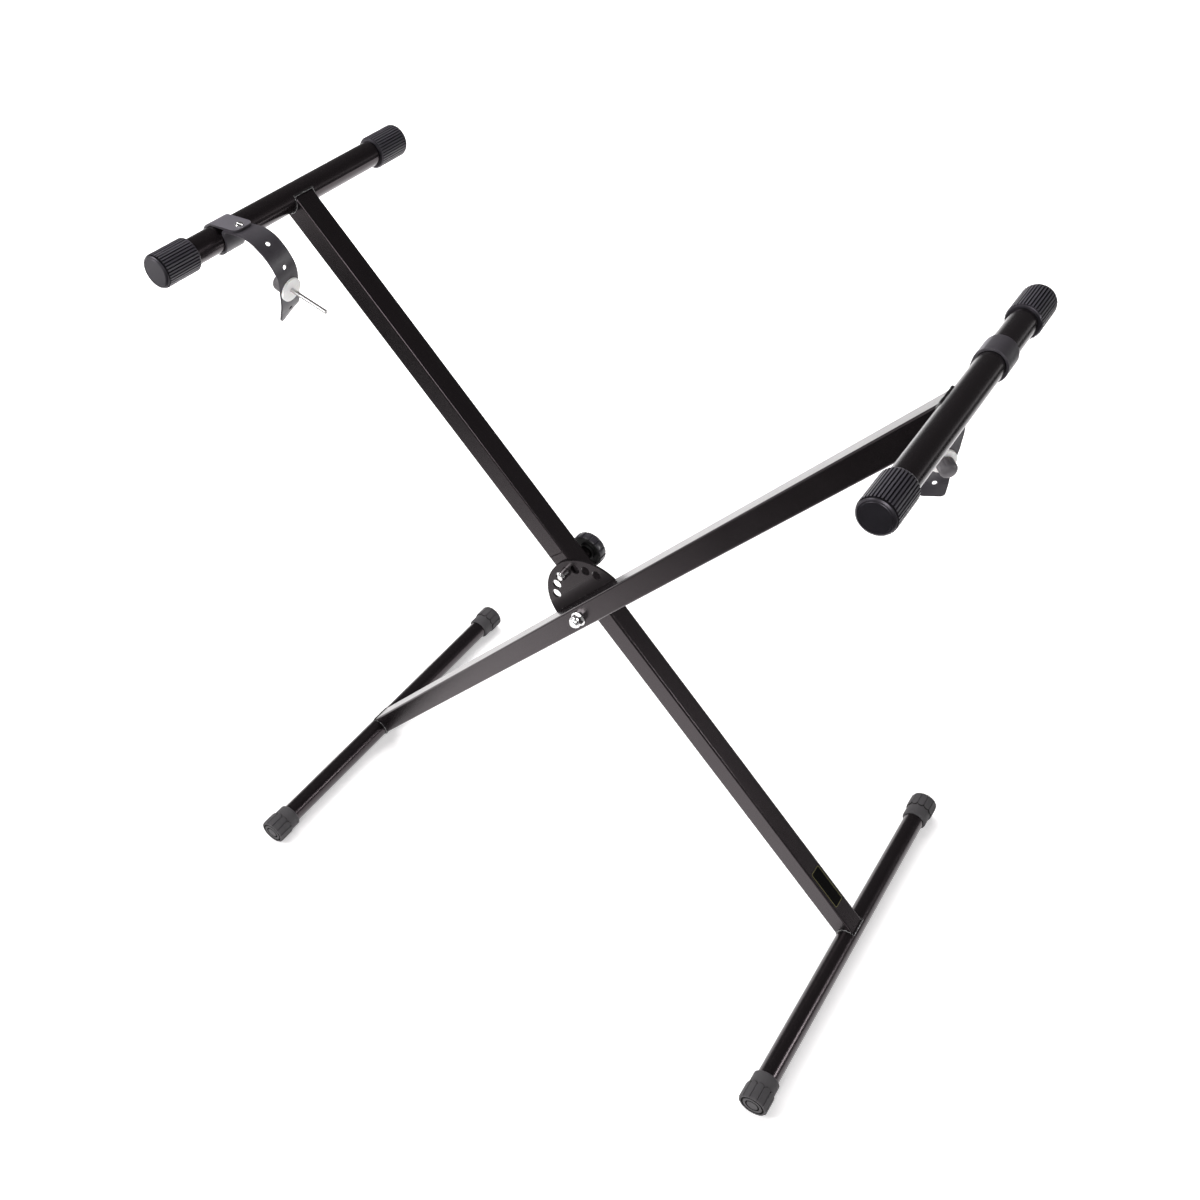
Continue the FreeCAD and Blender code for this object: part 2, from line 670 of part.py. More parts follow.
# Lock knob: a flat round knob with finger notches, a blind bore to the front and a bevelled back.
def make_lock_knob(label):
    body = doc.addObject("PartDesign::Body", label)
    disc = new_sketch(body, "XY_Plane", label + "_disc_sketch")
    draw_circle(disc, "disc", "Sizes.knob_diameter")
    disc_pad = pad(body, disc, label + "_disc", "Sizes.knob_thickness")
    back = rings_at(value("knob_thickness"))
    soften(body, disc_pad, label + "_back", "Chamfer", "Sizes.knob_bevel", back)
    bore = new_sketch(body, "XY_Plane", label + "_bore_sketch")
    draw_circle(bore, "stem", "Sizes.pin_stem_diameter")
    pocket(body, bore, label + "_bore", "Sizes.pin_stem_length", reverse=True)
    notch = new_sketch(body, "XY_Plane", label + "_notch_sketch")
    half = "Sizes.knob_notch_width / 2"
    floor = "(Sizes.knob_diameter / 2 - Sizes.knob_notch_depth)"
    draw_outline(notch, rectangle(floor, f"-{half}", "Sizes.knob_diameter / 2 + Sizes.overrun", half))
    notch_cut = pocket(body, notch, label + "_notch", "Sizes.knob_thickness + Sizes.overrun", reverse=True)
    repeat_round(body, notch_cut, label + "_notches", "Sizes.knob_notch_count")
    finish(body, label, (lock_x, knob_front, lock_z), TO_REAR)


make_lock_pin("lock_pin")
make_lock_knob("lock_knob")
pin_bore = "(Sizes.pin_diameter + 2 * Sizes.pin_fit)"
make_ring("lock_guide", "Sizes.guide_diameter", pin_bore, "Sizes.guide_length",
          (lock_x, leg_outside, lock_z))
make_ring("lock_retaining_ring", "Sizes.ring_diameter", "Sizes.pin_diameter", "Sizes.ring_thickness",
          (lock_x, leg_gap / 2 + wall + value("ring_gap"), lock_z))


def arc_between(start, control, end):
    """The arc from a start to an end whose tangents meet at a control point."""
    middle = (start + end) / 2
    half = (end - start).Length / 2
    rise = half * math.tan((control - start).getAngle(end - start) / 2)
    return Part.Arc(start, middle + (control - middle).normalize() * rise, end).toShape()


def arcs_between(start, end):
    """Two arcs that join a start to an end, each a point and a tangent, without a kink."""
    (first, heading), (last, leaving) = start, end
    gap = last - first
    along = gap.dot(heading + leaving)
    turn = 2 * (1 - heading.dot(leaving))
    reach = (math.sqrt(along ** 2 + turn * gap.dot(gap)) - along) / turn
    controls = first + heading * reach, last - leaving * reach
    meeting = (controls[0] + controls[1]) / 2
    return [arc_between(first, controls[0], meeting), arc_between(meeting, controls[1], last)]


# Lock spring: a coil between the retaining ring on the pin and the rear leg's far wall.
def make_lock_spring(label):
    length = value("leg_side - 2 * leg_wall - ring_gap - ring_thickness - spring_wire")
    turns = int(value("spring_turn_count"))
    radius = value("(spring_diameter - spring_wire) / 2")
    rise = length / turns / (2 * math.pi)
    stations = []
    for number in range(2 * turns + 1):
        angle = number * math.pi
        place = FreeCAD.Vector(radius * math.cos(angle), radius * math.sin(angle), rise * angle)
        heading = FreeCAD.Vector(-radius * math.sin(angle), radius * math.cos(angle), rise)
        stations.append((place, heading.normalize()))
    path = [arc for pair in zip(stations, stations[1:]) for arc in arcs_between(*pair)]
    start, heading = stations[0]
    sides = int(value("spring_side_count"))
    corner = X_AXIS * value("spring_wire / 2")
    section = [FreeCAD.Rotation(heading, 360 * side / sides).multVec(corner) for side in range(sides)]
    outline = Part.makePolygon([start + point for point in section + section[:1]])
    spring = doc.addObject("Part::Feature", label)
    spring.Shape = Part.Wire(path).makePipeShell([outline], True, False)
    seat = leg_gap / 2 + wall + value("ring_gap + ring_thickness + spring_wire / 2")
    finish(spring, label, (lock_x, seat, lock_z), TO_REAR)


make_lock_spring("lock_spring")


def point_along(runs, start, heading, distance):
    """The point and heading at a distance along a path of runs, each a length and its turn."""
    x, z = start
    angle = math.radians(heading)
    for length, turn in runs:
        step = min(distance, length)
        bend = math.radians(turn) * step / length
        if turn:
            radius = length / math.radians(turn)
            x += radius * (math.sin(angle + bend) - math.sin(angle))
            z -= radius * (math.cos(angle + bend) - math.cos(angle))
        else:
            x += step * math.cos(angle)
            z += step * math.sin(angle)
        angle += bend
        distance -= step
        if distance <= 0:
            break
    return x, z, angle


def offset_point(place, offset):
    """A point beside a place on a path, to its left where the offset is positive."""
    x, z, angle = place
    return FreeCAD.Vector(x - offset * math.sin(angle), 0, z + offset * math.cos(angle))


def strip_face(runs, start, heading, thickness):
    """The flat section of a strip that follows a path of runs in the X and Z directions."""
    sides = []
    for offset in (thickness / 2, -thickness / 2):
        edges = []
        gone = 0
        for length, turn in runs:
            ends = [point_along(runs, start, heading, gone + share * length) for share in (0, 0.5, 1)]
            first, middle, last = [offset_point(place, offset) for place in ends]
            edges.append(Part.Arc(first, middle, last).toShape() if turn else Part.makeLine(first, last))
            gone += length
        sides.append(edges)
    left, right = sides
    tail_end = Part.makeLine(left[-1].lastVertex().Point, right[-1].lastVertex().Point)
    flap_end = Part.makeLine(right[0].firstVertex().Point, left[0].firstVertex().Point)
    ordered = left + [tail_end] + right[::-1] + [flap_end]
    return Part.Face(Part.Wire(Part.__sortEdges__(ordered)))


# Strap: a rubber strip that wraps the top tube, folds back under its own flap and runs on as a holed tail.
# The right strap is the left one turned over, so its flap lies on the other side. A rivet joins the layers.
strap_middle = value("tube_diameter / 2 + strap_tube_fit + strap_thickness / 2")
strap_lower = strap_middle - value("strap_thickness + strap_layer_gap")
strap_mirror = {"left": 1, "right": -1}


def strap_base(side):
    """The middle of a strap on its tube's centre line."""
    return -half_span * strap_mirror[side], value(f"{side}_strap_place"), top_height


def strap_turn(side):
    """How far a strap is turned on its tube."""
    return FreeCAD.Rotation(Y_AXIS, value(f"{side}_strap_turn_angle"))


def make_wrap(side):
    """The part of a strap round the tube: the flap, the loop, the fold and the start of the tail."""
    bend = value("strap_bend")
    leave = math.degrees(math.asin((strap_lower - bend) / (strap_middle + bend)))
    fold_end = (strap_middle + bend) * math.cos(math.radians(leave))
    flap = value("strap_flap_length")
    wrap = 270 + leave
    fold = 90 + leave
    runs = [
        (flap, 0),
        (strap_middle * math.radians(wrap), wrap),
        (bend * math.radians(fold), -fold),
        (value("strap_rivet_place + strap_lead") - fold_end, 0),
    ]
    thickness = value("strap_thickness")
    width = value("strap_width")
    section = strip_face(runs, (flap, strap_middle), 180, thickness)
    section.translate(FreeCAD.Vector(0, -width / 2, 0))
    wrap = section.extrude(FreeCAD.Vector(0, width, 0))
    at_flap_end = lambda middle: math.isclose(middle.x, flap) and middle.z > strap_lower + thickness / 2
    corners = [edge for edge in wrap.Edges
               if math.isclose(edge.Length, thickness, rel_tol=1e-6) and at_flap_end(edge.CenterOfMass)]
    wrap = wrap.makeFillet(value("strap_corner"), corners)
    return wrap if side == "left" else wrap.mirror(FreeCAD.Vector(), X_AXIS)


def tail_stations(side):
    """Stations down a tail: distance from the rivet, place, and length, width and inward directions."""
    distance = value("strap_lead")
    place = FreeCAD.Vector(strap_mirror[side] * value("strap_rivet_place + strap_lead"), 0, strap_lower)
    frame = [X_AXIS * strap_mirror[side], Y_AXIS, Z_AXIS * -1]
    first = value("strap_first_hole - strap_lead")
    pitch = value("strap_hole_pitch")
    seat = value("strap_seat_length")
    lengths = [first, pitch, pitch - seat / 2, seat, pitch - seat / 2, value("strap_end_margin")]
    steps = int(value("strap_step_count"))
    stations = [(distance, place, *frame)]
    for number, length in enumerate(lengths, 1):
        bend = value(f"{side}_strap_bend_{number}_angle") / steps
        twist = value(f"{side}_strap_twist_{number}_angle") / steps
        sway = value(f"{side}_strap_sway_angle") / steps / len(lengths)
        for _ in range(steps):
            half_bend = FreeCAD.Rotation(frame[0].cross(frame[2]), bend / 2)
            frame = [half_bend.multVec(direction) for direction in frame]
            place = place + frame[0] * (length / steps)
            distance += length / steps
            twisting = FreeCAD.Rotation(frame[1].cross(frame[2]), twist)
            swaying = FreeCAD.Rotation(frame[0].cross(frame[1]), sway)
            frame = [swaying.multVec(twisting.multVec(half_bend.multVec(direction))) for direction in frame]
            stations.append((distance, place, *frame))
    return stations


def station_at(stations, distance):
    """The station nearest to a distance from the rivet."""
    return min(stations, key=lambda station: abs(station[0] - distance))


def screw_station(side):
    """The station under the thumbscrew."""
    distance = value("strap_first_hole + strap_hole_pitch * (strap_screw_hole_count - 1)")
    return station_at(tail_stations(side), distance)


def make_tail(stations):
    """The tail's solid, through a rectangle at each station. Its screw seat comes out flat."""
    half_width = value("strap_width / 2")
    half_thickness = value("strap_thickness / 2")
    sections = []
    for distance, place, along, across, inward in stations:
        corners = []
        for wide, deep in ((-1, -1), (1, -1), (1, 1), (-1, 1), (-1, -1)):
            corners.append(place + across * (wide * half_width) + inward * (deep * half_thickness))
        sections.append(Part.makePolygon(corners))
    return Part.makeLoft(sections, True, True)


def make_tip_cutters(station):
    """Two cutters that round the corners of the tail's end."""
    distance, place, along, across, inward = station
    radius = value("strap_tip_corner")
    past = value("overrun")
    half = value("strap_width / 2")
    cutters = []
    for sign in (-1, 1):
        frame = FreeCAD.Rotation(along, across * sign, along.cross(across) * sign, "XYZ")
        corner = FreeCAD.Vector(-radius, half - radius, -past)
        block = Part.makeBox(radius + past, radius + past, 2 * past, corner)
        round_part = Part.makeCylinder(radius, 2 * past, corner)
        cutter = block.cut(round_part)
        cutter.Placement = FreeCAD.Placement(place, frame)
        cutters.append(cutter)
    return cutters


def punch(place, direction, radius):
    """A round cutter through one layer of the strap."""
    past = value("strap_thickness / 2 + overrun / 4")
    return Part.makeCylinder(radius, 2 * past, place - direction * past, direction)


def make_strap(label, side):
    stations = tail_stations(side)
    strip = make_wrap(side).fuse(make_tail(stations))
    cutters = make_tip_cutters(stations[-1])
    for number in range(int(value("strap_hole_count"))):
        station = station_at(stations, value("strap_first_hole") + number * value("strap_hole_pitch"))
        cutters.append(punch(station[1], station[4], value("strap_hole_diameter / 2")))
    rivet = value("rivet_diameter / 2")
    x = strap_mirror[side] * value("strap_rivet_place")
    cutters.append(punch(FreeCAD.Vector(x, 0, strap_middle), Z_AXIS, rivet))
    cutters.append(punch(FreeCAD.Vector(x, 0, strap_lower), Z_AXIS, rivet))
    for cutter in cutters:
        strip = strip.cut(cutter)
    strap = doc.addObject("Part::Feature", label)
    strap.Shape = strip.Solids[0]
    finish(strap, label, strap_base(side), strap_turn(side))


# Rivet: a slotted head on the flap, a shank through both layers and a flat head inside.
def make_rivet(label, side):
    inner = value("strap_thickness * 2 + strap_layer_gap")
    head = value("rivet_head_height")
    top = strap_middle + value("strap_thickness / 2")
    x = strap_mirror[side] * value("strap_rivet_place")
    radius = value("rivet_head_diameter / 2")
    shank = Part.makeCylinder(value("rivet_diameter / 2"), inner, FreeCAD.Vector(x, 0, top - inner))
    upper = Part.makeCylinder(radius, head, FreeCAD.Vector(x, 0, top))
    rim = [edge for edge in upper.Edges if rings_at(top + head)(edge)]
    upper = upper.makeChamfer(head / 2, rim)
    lower = Part.makeCylinder(radius, head / 2, FreeCAD.Vector(x, 0, top - inner - head / 2))
    solid = shank.fuse([upper, lower]).removeSplitter()
    length = value("rivet_head_diameter + overrun")
    wide = value("rivet_slot_width")
    corner = FreeCAD.Vector(x - length / 2, -wide / 2, top + head - value("rivet_slot_depth"))
    rivet = doc.addObject("Part::Feature", label)
    rivet.Shape = solid.cut(Part.makeBox(length, wide, head, corner))
    finish(rivet, label, strap_base(side), strap_turn(side))


def placed_on_strap(side, offset):
    """The placement of a piece on the screw's axis, at an offset inward from the strip's middle."""
    distance, place, along, across, inward = screw_station(side)
    local = FreeCAD.Placement(place + inward * offset, FreeCAD.Rotation(Z_AXIS, inward))
    return FreeCAD.Placement(FreeCAD.Vector(*strap_base(side)), strap_turn(side)).multiply(local)


# White washer on the strap: on the left it is on the side that the rod points out of, and on the right
# it lies under the thumb head.
def make_strap_washer(label, side):
    washer = make_ring(label, "Sizes.screw_washer_diameter", "Sizes.strap_hole_diameter",
                       "Sizes.screw_washer_thickness", (0, 0, 0))
    surface = value("strap_thickness / 2")
    offset = surface if side == "right" else -surface - value("screw_washer_thickness")
    washer.Placement = placed_on_strap(side, offset)


# Thumbscrew: a thin steel rod pressed into a ribbed black thumb head, on the hollow side of the curl.
def make_thumbscrew(side):
    surface = value("strap_thickness / 2 + seat_gap")
    if side == "right":
        surface += value("screw_washer_thickness")
    radius = "Sizes.screw_diameter / 2"
    grip_top = "(Sizes.thumb_collar_length + Sizes.thumb_grip_length)"

    label = f"thumbscrew_rod_{side}"
    body = doc.addObject("PartDesign::Body", label)
    section = new_sketch(body, "XZ_Plane", label + "_section")
    draw_outline(section, [
        ("0", "-Sizes.screw_reach"),
        (f"{radius} - Sizes.screw_tip_bevel", "-Sizes.screw_reach"),
        (radius, "-Sizes.screw_reach + Sizes.screw_tip_bevel"),
        (radius, grip_top),
        ("0", grip_top),
    ])
    revolve(body, section, label + "_body")
    finish(body, label, (0, 0, 0))
    body.Placement = placed_on_strap(side, surface)

    label = f"thumbscrew_head_{side}"
    body = doc.addObject("PartDesign::Body", label)
    section = new_sketch(body, "XZ_Plane", label + "_section")
    outside = "Sizes.thumb_diameter / 2"
    dome = "Sizes.thumb_dome_height"
    draw_outline(section, [
        (radius, "0"),
        ("Sizes.thumb_collar_diameter / 2", "0"),
        (outside, "Sizes.thumb_collar_length"),
        (outside, grip_top),
        (f"{outside} * Sizes.thumb_shoulder_share", f"{grip_top} + {dome} * Sizes.thumb_rise_share"),
        (f"{outside} * Sizes.thumb_crown_share", f"{grip_top} + {dome}"),
        ("0", f"{grip_top} + {dome}"),
        ("0", grip_top),
        (radius, grip_top),
    ])
    revolve(body, section, label + "_body")
    flute = new_sketch(body, "XY_Plane", label + "_flute_sketch")
    half = "Sizes.thumb_flute_width / 2"
    floor = f"({outside} - Sizes.thumb_flute_depth)"
    draw_outline(flute, rectangle(floor, f"-{half}", f"{outside} + Sizes.overrun", half))
    flute_cut = pocket(body, flute, label + "_flute", grip_top, reverse=True)
    repeat_round(body, flute_cut, label + "_flutes", "Sizes.thumb_flute_count")
    finish(body, label, (0, 0, 0))
    body.Placement = placed_on_strap(side, surface)


for side in ("left", "right"):
    make_strap(f"strap_{side}", side)
    make_rivet(f"strap_rivet_{side}", side)
    make_strap_washer(f"strap_washer_{side}", side)
    make_thumbscrew(side)

# Nothing is written unless every object computed and every piece is a sound solid.
doc.recompute()
for obj in doc.Objects:
    if "Invalid" in obj.State or "Error" in obj.State:
        raise ValueError(f"{obj.Label} did not compute: {obj.State}")
for obj in nodes:
    if obj.Shape.isNull() or not obj.Shape.isValid() or not obj.Shape.Solids:
        raise ValueError(f"{obj.Label} is not a sound solid")
os.makedirs("parts", exist_ok=True)
for obj in nodes:
    obj.Shape.exportStep(os.path.join("parts", obj.Label + ".step"))
    print(f"{obj.Label}: {obj.Shape.Volume:.0f} mm3")
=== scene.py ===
import math

import bmesh
import bpy
from mathutils import Matrix, Quaternion, Vector


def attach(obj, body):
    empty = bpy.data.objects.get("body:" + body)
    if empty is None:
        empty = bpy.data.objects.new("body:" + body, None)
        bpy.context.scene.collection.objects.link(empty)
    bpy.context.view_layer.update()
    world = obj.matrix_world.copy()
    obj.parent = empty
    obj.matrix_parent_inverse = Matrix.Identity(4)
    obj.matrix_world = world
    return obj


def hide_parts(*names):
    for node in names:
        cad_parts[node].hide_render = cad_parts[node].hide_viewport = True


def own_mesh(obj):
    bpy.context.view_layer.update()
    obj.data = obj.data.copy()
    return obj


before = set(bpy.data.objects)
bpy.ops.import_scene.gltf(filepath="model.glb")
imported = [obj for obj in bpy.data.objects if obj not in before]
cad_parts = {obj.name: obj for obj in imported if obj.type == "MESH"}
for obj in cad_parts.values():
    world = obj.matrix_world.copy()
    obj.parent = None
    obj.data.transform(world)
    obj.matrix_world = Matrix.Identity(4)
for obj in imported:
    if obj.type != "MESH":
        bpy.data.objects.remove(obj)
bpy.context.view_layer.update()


# Studio: a large pale floor, lit by soft boxes at the left, in front and behind. A smaller box at the
# right shows in reflections only. The floor and the world are white where they are seen. In reflections
# the room is dim, and the floor is dark in front and at the back right.
def linear(hex_colour):
    """The linear colour of an sRGB hex value."""
    channels = [int(hex_colour[place:place + 2], 16) / 255 for place in (1, 3, 5)]
    return [c / 12.92 if c <= 0.04045 else ((c + 0.055) / 1.055) ** 2.4 for c in channels] + [1.0]


def add_node(tree, kind, inputs=None, **settings):
    """Adds a node, with its settings, and values or links for its inputs."""
    node = tree.nodes.new("ShaderNode" + kind)
    for name, setting in settings.items():
        setattr(node, name, setting)
    for name, source in (inputs or {}).items():
        if isinstance(source, bpy.types.NodeSocket):
            tree.links.new(source, node.inputs[name])
        else:
            node.inputs[name].default_value = source
    return node


world = bpy.data.worlds.new("studio")
world.use_nodes = True
bpy.context.scene.world = world
tree = world.node_tree
tree.nodes.clear()
direction = add_node(tree, "TexCoord").outputs["Generated"]
heading = add_node(tree, "SeparateXYZ", {"Vector": direction})
spread = add_node(tree, "MapRange", {"Value": heading.outputs["X"], "From Min": -1.0, "From Max": 1.0,
                                     "To Min": 0.33, "To Max": 2.4})
height = add_node(tree, "Math", {0: heading.outputs["Z"], 1: spread.outputs["Result"]}, operation="MULTIPLY")
room = add_node(tree, "ValToRGB", {"Fac": height.outputs[0]})
room.color_ramp.elements[0].position = 0.0
room.color_ramp.elements[0].color = (1.0, 1.0, 1.0, 1.0)
room.color_ramp.elements[1].position = 0.1
room.color_ramp.elements[1].color = (0.12, 0.115, 0.118, 1.0)
dim = add_node(tree, "Background", {"Color": room.outputs["Color"], "Strength": 1.0})
white = add_node(tree, "Background", {"Color": (1.0, 1.0, 1.0, 1.0), "Strength": 1.0})
rays = add_node(tree, "LightPath")
seen = add_node(tree, "Math", {0: rays.outputs["Is Camera Ray"], 1: rays.outputs["Is Transmission Ray"]},
                operation="MAXIMUM")
shown = add_node(tree, "MixShader", {0: seen.outputs[0], 1: dim.outputs[0], 2: white.outputs[0]})
add_node(tree, "OutputWorld", {"Surface": shown.outputs[0]})

bpy.ops.mesh.primitive_plane_add(size=14, location=(0, 0, 0))
floor = bpy.context.object
floor.name = "studio_floor"
paper = bpy.data.materials.new("white_paper_floor")
paper.use_nodes = True
tree = paper.node_tree
tree.nodes.clear()
matt = add_node(tree, "BsdfDiffuse", {"Color": linear("#f6f4f4")})
rays = add_node(tree, "LightPath")
seen = add_node(tree, "Math", {0: rays.outputs["Is Camera Ray"], 1: rays.outputs["Is Glossy Ray"]},
                operation="MAXIMUM")
spot = add_node(tree, "TexCoord").outputs["Object"]
away = add_node(tree, "VectorMath", {"Vector": spot}, operation="LENGTH")
lift = add_node(tree, "MapRange", {"Value": away.outputs["Value"], "From Min": 0.5, "From Max": 2.2,
                                   "To Min": 0.4, "To Max": 0.9})
extra = add_node(tree, "Math", {0: rays.outputs["Is Glossy Ray"], 1: 0.3, 2: lift.outputs["Result"]},
                 operation="MULTIPLY_ADD")
shine = add_node(tree, "Math", {0: seen.outputs[0], 1: extra.outputs[0]}, operation="MULTIPLY")
glow = add_node(tree, "Emission", {"Color": (1.0, 1.0, 1.0, 1.0), "Strength": shine.outputs[0]})
both = add_node(tree, "AddShader", {0: matt.outputs[0], 1: glow.outputs[0]})
where = add_node(tree, "SeparateXYZ", {"Vector": spot})
shade = add_node(tree, "MapRange", {"Value": where.outputs["Y"], "From Min": -0.72, "From Max": -0.25,
                                    "To Min": 1.0, "To Max": 0.0}, interpolation_type="SMOOTHSTEP")
inward = add_node(tree, "MapRange", {"Value": where.outputs["X"], "From Min": -1.95, "From Max": -1.5})
veil = add_node(tree, "Math", {0: inward.outputs["Result"], 1: shade.outputs["Result"]}, operation="MULTIPLY")
rightward = add_node(tree, "MapRange", {"Value": where.outputs["X"], "From Min": 0.7, "From Max": 1.5})
backward = add_node(tree, "MapRange", {"Value": where.outputs["Y"], "From Min": 0.0, "From Max": 0.6})
back_corner = add_node(tree, "Math", {0: rightward.outputs["Result"], 1: backward.outputs["Result"]},
                       operation="MULTIPLY")
veils = add_node(tree, "Math", {0: veil.outputs[0], 1: back_corner.outputs[0]}, operation="MAXIMUM")
mirrored = add_node(tree, "Math", {0: rays.outputs["Is Glossy Ray"], 1: veils.outputs[0]},
                    operation="MULTIPLY")
dark = add_node(tree, "Emission", {"Color": (1.0, 1.0, 1.0, 1.0), "Strength": 0.0})
paper_look = add_node(tree, "MixShader", {0: mirrored.outputs[0], 1: both.outputs[0], 2: dark.outputs[0]})
add_node(tree, "OutputMaterial", {"Surface": paper_look.outputs[0]})
floor.data.materials.append(paper)


def add_soft_box(name, place, target, size, power):
    """A square soft box that faces a target."""
    lamp = bpy.data.lights.new(name, "AREA")
    lamp.size = size
    lamp.energy = power
    box = bpy.data.objects.new(name, lamp)
    box.location = place
    box.rotation_euler = (Vector(target) - Vector(place)).to_track_quat("-Z", "Y").to_euler()
    bpy.context.collection.objects.link(box)
    return box


add_soft_box("soft_box_left", (-1.9, -2.0, 2.3), (0, 0, 0.3), 1.6, 68)
add_soft_box("soft_box_front", (0.9, -2.9, 2.0), (0, 0, 0.3), 1.2, 50)
behind = add_soft_box("soft_box_behind", (-1.1, 1.5, 2.5), (0, 0, 0.3), 2.6, 88)
behind.visible_glossy = False
streak = add_soft_box("strip_box_right", (2.3, 0.9, 1.2), (0, 0, 0.1), 0.45, 12)
streak.visible_diffuse = False


# Camera: it looks down on the stand from the front right, where the photograph was taken from.
# Its place, angles and lens were fitted to points and edges measured in the photograph.
turn, tilt, lean = math.radians(34.02), math.radians(44.67), math.radians(-1.98)
back = Vector((math.sin(turn) * math.cos(tilt), -math.cos(turn) * math.cos(tilt), math.sin(tilt)))
level = Vector((math.cos(turn), math.sin(turn), 0))
upright = back.cross(level)
right = level * math.cos(lean) + upright * math.sin(lean)
up = upright * math.cos(lean) - level * math.sin(lean)
lens = bpy.data.cameras.new("camera")
lens.sensor_width = 36
lens.lens = 36.78
lens.shift_x = 0.00726
lens.shift_y = 0.0505
camera = bpy.data.objects.new("camera", lens)
camera.matrix_world = Matrix((right, up, back)).transposed().to_4x4()
camera.location = (0.5492, -0.8192, 1.277)
bpy.context.collection.objects.link(camera)
bpy.context.scene.camera = camera
bpy.context.scene.view_settings.view_transform = "Standard"


# Legs, round tubes, lock plate and pin guide: welded mild steel in black powder coat.
# The baked powder flows out to a satin skin with a fine orange peel, about 0.9 mm from dimple to dimple.
# It lies thin and dull in the corner by the plate's weld, and is rubbed in a line across the rear leg.
def new_material(name):
    """An empty node material and its principled shader."""
    material = bpy.data.materials.new(name)
    material.use_nodes = True
    tree = material.node_tree
    tree.nodes.clear()
    shader = add_node(tree, "BsdfPrincipled")
    add_node(tree, "OutputMaterial", {"Surface": shader.outputs[0]})
    return material, tree, shader


def dress(material, *names):
    """Gives CAD nodes a material."""
    for name in names:
        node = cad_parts[name]
        node.data.materials.clear()
        node.data.materials.append(material)


powder_coat, tree, shader = new_material("black_powder_coat")
place = add_node(tree, "TexCoord").outputs["Object"]
blotches = add_node(tree, "TexNoise", {"Vector": place, "Scale": 1 / 0.05, "Detail": 3.0})
tone = add_node(tree, "ValToRGB", {"Fac": blotches.outputs["Fac"]})
tone.color_ramp.elements[0].color = linear("#0f0d0e")
tone.color_ramp.elements[1].color = linear("#151314")
tree.links.new(tone.outputs["Color"], shader.inputs["Base Color"])
rough = add_node(tree, "MapRange", {"Value": blotches.outputs["Fac"], "To Min": 0.21, "To Max": 0.27})
tree.links.new(rough.outputs["Result"], shader.inputs["Roughness"])
peel = add_node(tree, "TexNoise", {"Vector": place, "Scale": 1 / 0.0009, "Detail": 2.0})
relief = add_node(tree, "Bump", {"Height": peel.outputs["Fac"], "Strength": 0.12, "Distance": 0.0002})
tree.links.new(relief.outputs["Normal"], shader.inputs["Normal"])
shader.inputs["IOR"].default_value = 1.5
shader.inputs["Specular Tint"].default_value = (1.0, 0.84, 0.9, 1.0)
dress(powder_coat, "leg_front", "base_tube_left", "base_tube_right", "top_tube_left", "top_tube_right",
      "lock_guide")

leg_slope, pivot_height, leg_half, dull_width = math.radians(47), 0.388028, 0.0125, 0.014
corner_coat = powder_coat.copy()
corner_coat.name = "thin_corner_powder_coat"
tree = corner_coat.node_tree
place = add_node(tree, "TexCoord").outputs["Object"]
out_of_front_leg = (-math.sin(leg_slope), 0, math.cos(leg_slope))
out_of_corner = add_node(tree, "VectorMath", {0: place, 1: out_of_front_leg}, operation="DOT_PRODUCT")
corner_rise = pivot_height * math.cos(leg_slope) + leg_half
rough = add_node(tree, "MapRange", {"Value": out_of_corner.outputs["Value"], "From Min": corner_rise,
                                    "From Max": corner_rise + dull_width, "To Min": 1.0, "To Max": 0.25})
tree.links.new(rough.outputs["Result"], tree.nodes["Principled BSDF"].inputs["Roughness"])
tree.nodes["Principled BSDF"].inputs["IOR"].default_value = 1.39
dress(corner_coat, "lock_plate")

rub_reach, rub_wander, rub_half_width, front_face_depth = 0.0679, 0.003, 0.0006, 0.0026
rubbed_coat = powder_coat.copy()
rubbed_coat.name = "rubbed_powder_coat"
tree = rubbed_coat.node_tree
place = add_node(tree, "TexCoord").outputs["Object"]
up_rear_leg = (-math.cos(leg_slope), 0, math.sin(leg_slope))
reach = add_node(tree, "VectorMath", {0: place, 1: up_rear_leg}, operation="DOT_PRODUCT")
wander = add_node(tree, "TexNoise", {"Vector": place, "Scale": 1 / 0.004, "Detail": 2.0})
drawn = add_node(tree, "Math", {0: wander.outputs["Fac"], 1: rub_wander, 2: reach.outputs["Value"]},
                 operation="MULTIPLY_ADD")
rub_height = pivot_height * math.sin(leg_slope) + rub_reach
line = add_node(tree, "Math", {0: drawn.outputs[0], 1: rub_height, 2: rub_half_width},
                operation="COMPARE")
depth = add_node(tree, "SeparateXYZ", {"Vector": place}).outputs["Y"]
front_face = add_node(tree, "Math", {0: depth, 1: front_face_depth}, operation="LESS_THAN")
mark = add_node(tree, "Math", {0: line.outputs[0], 1: front_face.outputs[0]}, operation="MULTIPLY")
rough = add_node(tree, "MapRange", {"Value": mark.outputs[0], "To Min": 0.24, "To Max": 1.0})
tree.links.new(rough.outputs["Result"], tree.nodes["Principled BSDF"].inputs["Roughness"])
dress(rubbed_coat, "leg_rear")


# Weld beads: each leg is saddle-cut to its two round tubes and closed by a bead all the way round.
# The beads are laid by hand, ripple on ripple, and the powder lies thick and glossy on them. Three
# shorter beads along the lock plate have the thin, dull coat of their corner.
tube_radius, bead_radius, plate_bead_radius, ripple_length = 0.0125, 0.0016, 0.0011, 0.0022
half_span, leg_lane, base_height, top_height = 0.346455, 0.01415, 0.0165, 0.759555

